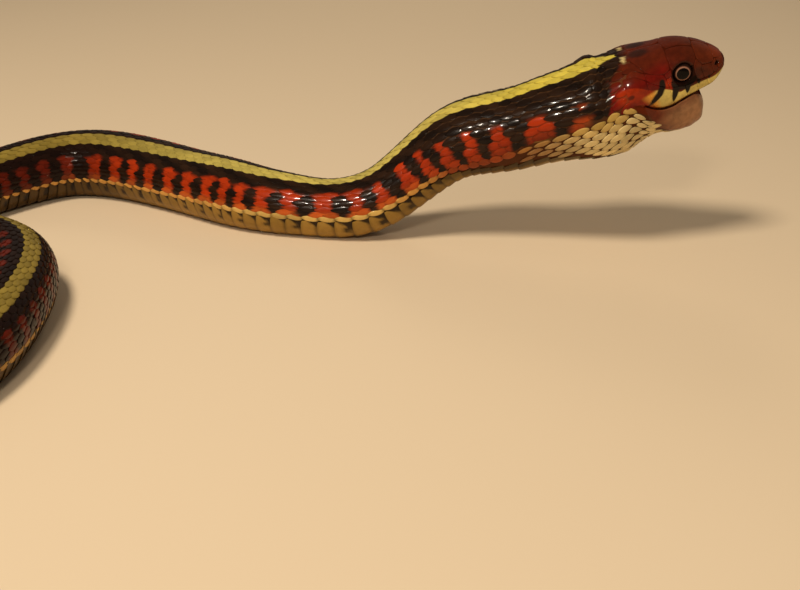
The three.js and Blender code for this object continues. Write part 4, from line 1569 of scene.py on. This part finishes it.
# %% [markdown]
# ## Head shields
#
# A garter snake wears large smooth shields on its head, and each has a name: internasals behind
# the tip of the snout, prefrontals, frontal between the eyes, supraoculars over them, parietals
# behind, and seven labials along each side of the upper lip. The tip itself is left to the skin.
# Their corners are given here on the head's own grid: how far forward, and how far down from the
# middle of the crown, where 1 is the lip. A shield is a patch of rings that shrink towards its
# middle and rise over its rim.

# %% Corners of the shields
SHIELDS = {
    "parietal": [(4.9, 0.0), (5.05, 0.2), (5.02, 0.5), (4.45, 0.53), (3.15, 0.49), (2.35, 0.29),
                 (2.3, 0.0)],
    "prefrontal": [(8.33, 0.0), (8.4, 0.46), (8.3, 0.54), (7.45, 0.56), (7.12, 0.43), (7.2, 0.0)],
    "internasal": [(9.1, 0.0), (9.12, 0.42), (8.85, 0.5), (8.4, 0.46), (8.33, 0.0)],
    "supraocular": [(7.12, 0.2), (7.12, 0.43), (6.8, 0.53), (6.2, 0.56), (5.4, 0.56), (5.02, 0.5),
                    (5.05, 0.2)],
    "nasal_front": [(9.12, 0.42), (9.1, 0.8), (8.58, 0.81), (8.58, 0.75), (8.66, 0.7),
                    (8.66, 0.61), (8.58, 0.56), (8.58, 0.48), (8.85, 0.5)],
    "nasal_rear": [(8.52, 0.47), (8.52, 0.56), (8.44, 0.61), (8.44, 0.7), (8.52, 0.75),
                   (8.52, 0.81), (8.12, 0.81), (8.12, 0.56), (8.3, 0.54)],
    "loreal": [(8.12, 0.56), (8.12, 0.81), (7.3, 0.81), (7.28, 0.62), (7.45, 0.56)],
    "preocular": [(7.12, 0.43), (7.45, 0.56), (7.28, 0.62), (7.3, 0.81), (6.76, 0.8), (6.72, 0.64),
                  (6.8, 0.53)],
    "postocular_top": [(5.02, 0.5), (5.0, 0.59), (4.5, 0.6), (4.45, 0.53)],
    "postocular_mid": [(5.0, 0.59), (5.02, 0.67), (4.52, 0.67), (4.5, 0.6)],
    "postocular_low": [(5.02, 0.67), (5.2, 0.77), (4.55, 0.72), (4.52, 0.67)],
    "temporal_fore": [(4.45, 0.53), (4.52, 0.67), (4.55, 0.72), (3.75, 0.65), (3.0, 0.585),
                      (3.05, 0.5), (3.15, 0.49)],
    "temporal_low": [(3.05, 0.5), (3.0, 0.58), (2.1, 0.54), (1.6, 0.52), (1.9, 0.44), (2.4, 0.45)],
    "temporal_rear": [(2.35, 0.29), (3.12, 0.49), (2.4, 0.45), (1.9, 0.44), (1.5, 0.38),
                      (1.6, 0.29)],
}
LABIAL_SEAMS = [9.1, 8.32, 7.5, 6.62, 5.72, 4.55, 2.95, 1.3]
LABIAL_TOPS = [0.8, 0.82, 0.82, 0.82, 0.81, 0.72, 0.58, 0.5]
FRONTAL = [(7.12, -0.2), (7.2, 0.0), (7.12, 0.2), (6.2, 0.17), (5.3, 0.2), (5.0, 0.14),
           (4.85, 0.0), (5.0, -0.14), (5.3, -0.2), (6.2, -0.17)]


# %% A shield from its corners
SEAM = 0.002          # half the width of the seam between two shields
SHIELD_RINGS = [(0.0, -0.05), (0.0, 0.022), (0.03, 0.042), (0.08, 0.05)]
SHIELD_FILL = [(1 - share, 0.05 + 0.006 * math.sqrt(share)) for share in np.arange(1, 14) / 14]


def rounded(corners, points):
    """A closed outline with its corners cut round, in even steps."""
    line = np.array(corners, float)
    for cut in (0.12, 0.25):
        after = np.roll(line, -1, axis=0)
        line = np.stack([line + cut * (after - line), after + cut * (line - after)], 1).reshape(-1, 2)
    closed = np.vstack([line, line[:1]])
    steps = np.linalg.norm(np.diff(closed * [1, 9], axis=0), axis=1)
    lengths = np.concatenate([[0], np.cumsum(steps)])
    at = np.linspace(0, lengths[-1], points, endpoint=False)
    return np.stack([np.interp(at, lengths, closed[:, k]) for k in range(2)], 1)


class Shields:
    """Collects shields as arrays of points, faces, maps and tones."""

    def __init__(self):
        self.points, self.faces, self.maps, self.tones = [], [], [], []
        self.count = 0

    def add(self, corners, side, points=44):
        line = rounded(corners, points) * [1, side]
        if side < 0:
            line = line[::-1]
        middle = line.mean(0)
        at = lambda xt, height: OVER.at(-xt[:, 0], xt[:, 1] * LIP_COLUMN, height)
        flat = at(line, np.zeros(len(line)))
        hub = at(middle[None], np.zeros(1))[0]
        radius = np.linalg.norm(flat - hub, axis=1)
        rings = []
        for inset, height in SHIELD_RINGS:
            share = 1 - (SEAM + inset) / np.maximum(radius, 0.12)
            rings.append((np.clip(share, 0.3, 1), height))
        last = rings[-1][0]
        rings += [(last * share, height) for share, height in SHIELD_FILL]
        shape, spots = [], []
        for share, height in rings:
            spot = middle + (line - middle) * share[:, None]
            shape.append(at(spot, np.full(len(spot), height)))
            spots.append(spot)
        shape.append(at(middle[None], np.array([SHIELD_FILL[-1][1]])))
        shape.append(at(middle[None], np.array([SHIELD_RINGS[0][1]])))
        spots += [middle[None], middle[None]]
        count, start = len(line), self.count
        hub_top, hub_low = start + len(rings) * count, start + len(rings) * count + 1
        for k in range(count):
            n = (k + 1) % count
            for ring in range(len(rings) - 1):
                p, q = start + ring * count, start + (ring + 1) * count
                self.faces.append((p + k, p + n, q + n, q + k))
            top = start + (len(rings) - 1) * count
            self.faces.append((top + k, top + n, hub_top))
            self.faces.append((start + n, start + k, hub_low))
        self.points.append(np.vstack(shape))
        self.maps.append(np.vstack(spots))
        self.tones.append(np.full(len(self.points[-1]), rng.uniform(-1, 1)))
        self.count += len(self.points[-1])


# %% All the shields of the head
LOW_SEAM = 0.985      # how far down the labials reach, and behind the corner of the mouth
LOW_REAR_SEAM = 0.9
LABIAL_POINTS = 76


def head_shields():
    shields = Shields()
    for side in (1, -1):
        for corners in SHIELDS.values():
            shields.add(corners, side)
        for front, rear, front_top, rear_top in zip(LABIAL_SEAMS, LABIAL_SEAMS[1:],
                                                    LABIAL_TOPS, LABIAL_TOPS[1:]):
            low_front = LOW_SEAM if front > CORNER else LOW_REAR_SEAM
            low_rear = LOW_SEAM if rear > CORNER else LOW_REAR_SEAM
            middle = (front + rear) / 2
            top = (front_top + rear_top) / 2
            shields.add([(front, front_top), (front, (front_top + low_front) / 2),
                         (front, low_front), (middle, (low_front + low_rear) / 2),
                         (rear, low_rear), (rear, (rear_top + low_rear) / 2),
                         (rear, rear_top), (middle, top)], side, LABIAL_POINTS)
    shields.add(FRONTAL, 1)
    points = np.vstack(shields.points)
    colours = head_colour(*head_local(points))
    piece = new_piece("head_shields", points, shields.faces, colours,
                      np.concatenate(shields.tones), [HEAD_COAT])
    maps = np.vstack(shields.maps)
    add_map(piece, np.stack([0.02 + 0.96 * maps[:, 0] / SNOUT, 0.5 + 0.47 * maps[:, 1]], 1))
    recalculate_normals(piece)
    print("head shields:", len(shields.points))
    return piece


head_shields()

# %% [markdown]
# ## Eyes
#
# A snake has no lids: a clear scale covers the eye, so that it always looks wet. The pupil is
# round and black, with a thin pinkish ring round it and a darker iris outside. The ball could
# carry a painted picture, but two rings need none: the material reads how far a point lies
# from the eye's axis, and a colour ramp draws the rings.

# %% Eyeballs
PUPIL = 0.49          # distances from the eye's axis: the pupil's edge and the pale ring's
IRIS_RING = 0.58
SHARP = 0.012         # half the width of the pupil's edge


def eye_material():
    material = bpy.data.materials.new("glossy eye")
    material.use_nodes = True
    nodes, links = material.node_tree.nodes, material.node_tree.links
    shader = nodes["Principled BSDF"]
    reader = nodes.new("ShaderNodeAttribute")
    reader.attribute_name = "axis_distance"
    bands = nodes.new("ShaderNodeValToRGB")
    stops = [(0.0, BLACK * 0.3), (PUPIL - SHARP, BLACK * 0.3), (PUPIL + SHARP, tint(166, 122, 100)),
             (IRIS_RING, tint(128, 82, 62)), (IRIS_RING + 0.03, tint(44, 22, 15)),
             (EYE["across"], tint(24, 14, 10))]
    ramp_stops = bands.color_ramp.elements
    for number, (place, colour) in enumerate(stops):
        stop = ramp_stops[number] if number < 2 else ramp_stops.new(place)
        stop.position = place
        stop.color = (*colour, 1)
    links.new(reader.outputs["Fac"], bands.inputs["Fac"])
    links.new(bands.outputs["Color"], shader.inputs["Base Color"])
    shader.inputs["Roughness"].default_value = 0.12
    shader.inputs["Specular IOR Level"].default_value = 0.08
    shader.inputs["Coat Weight"].default_value = 0.1
    shader.inputs["Coat Roughness"].default_value = 0.02
    return material


EYE_FINISH = eye_material()


def eyeball(name, side):
    clear_selection()
    bpy.ops.mesh.primitive_uv_sphere_add(segments=48, ring_count=32, radius=1)
    ball = bpy.context.object
    ball.name = ball.data.name = name
    bpy.ops.object.mode_set(mode="EDIT")
    bpy.ops.mesh.select_all(action="SELECT")
    bpy.ops.transform.resize(value=(EYE["across"], EYE["across"], EYE["out"]))
    bpy.ops.object.mode_set(mode="OBJECT")
    shape = np.array([vertex.co[:] for vertex in ball.data.vertices])
    distance = np.hypot(shape[:, 0], shape[:, 1])
    placed = head_place(EYE["x"] + shape[:, 0], side * (EYE["side"] + shape[:, 2]),
                        EYE["z"] + shape[:, 1])
    ball.data.vertices.foreach_set("co", ((placed + SHIFT) * MM).ravel())
    reader = ball.data.attributes.new("axis_distance", "FLOAT", "POINT")
    reader.data.foreach_set("value", distance.astype(np.float32))
    ball.data.materials.append(EYE_FINISH)
    ball.data.polygons.foreach_set("use_smooth", [True] * len(ball.data.polygons))
    ball.data.update()
    recalculate_normals(ball)
    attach(ball, "root")
    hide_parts(name)
    return ball


eyes = [eyeball("eye_left", 1), eyeball("eye_right", -1)]
print("eyes:", [eye.name for eye in eyes])

# %% Measure the two boxes and finish
box_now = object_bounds()
boxes = [[list(map(float, corner)) for corner in box] for box in (cad_box, box_now)]
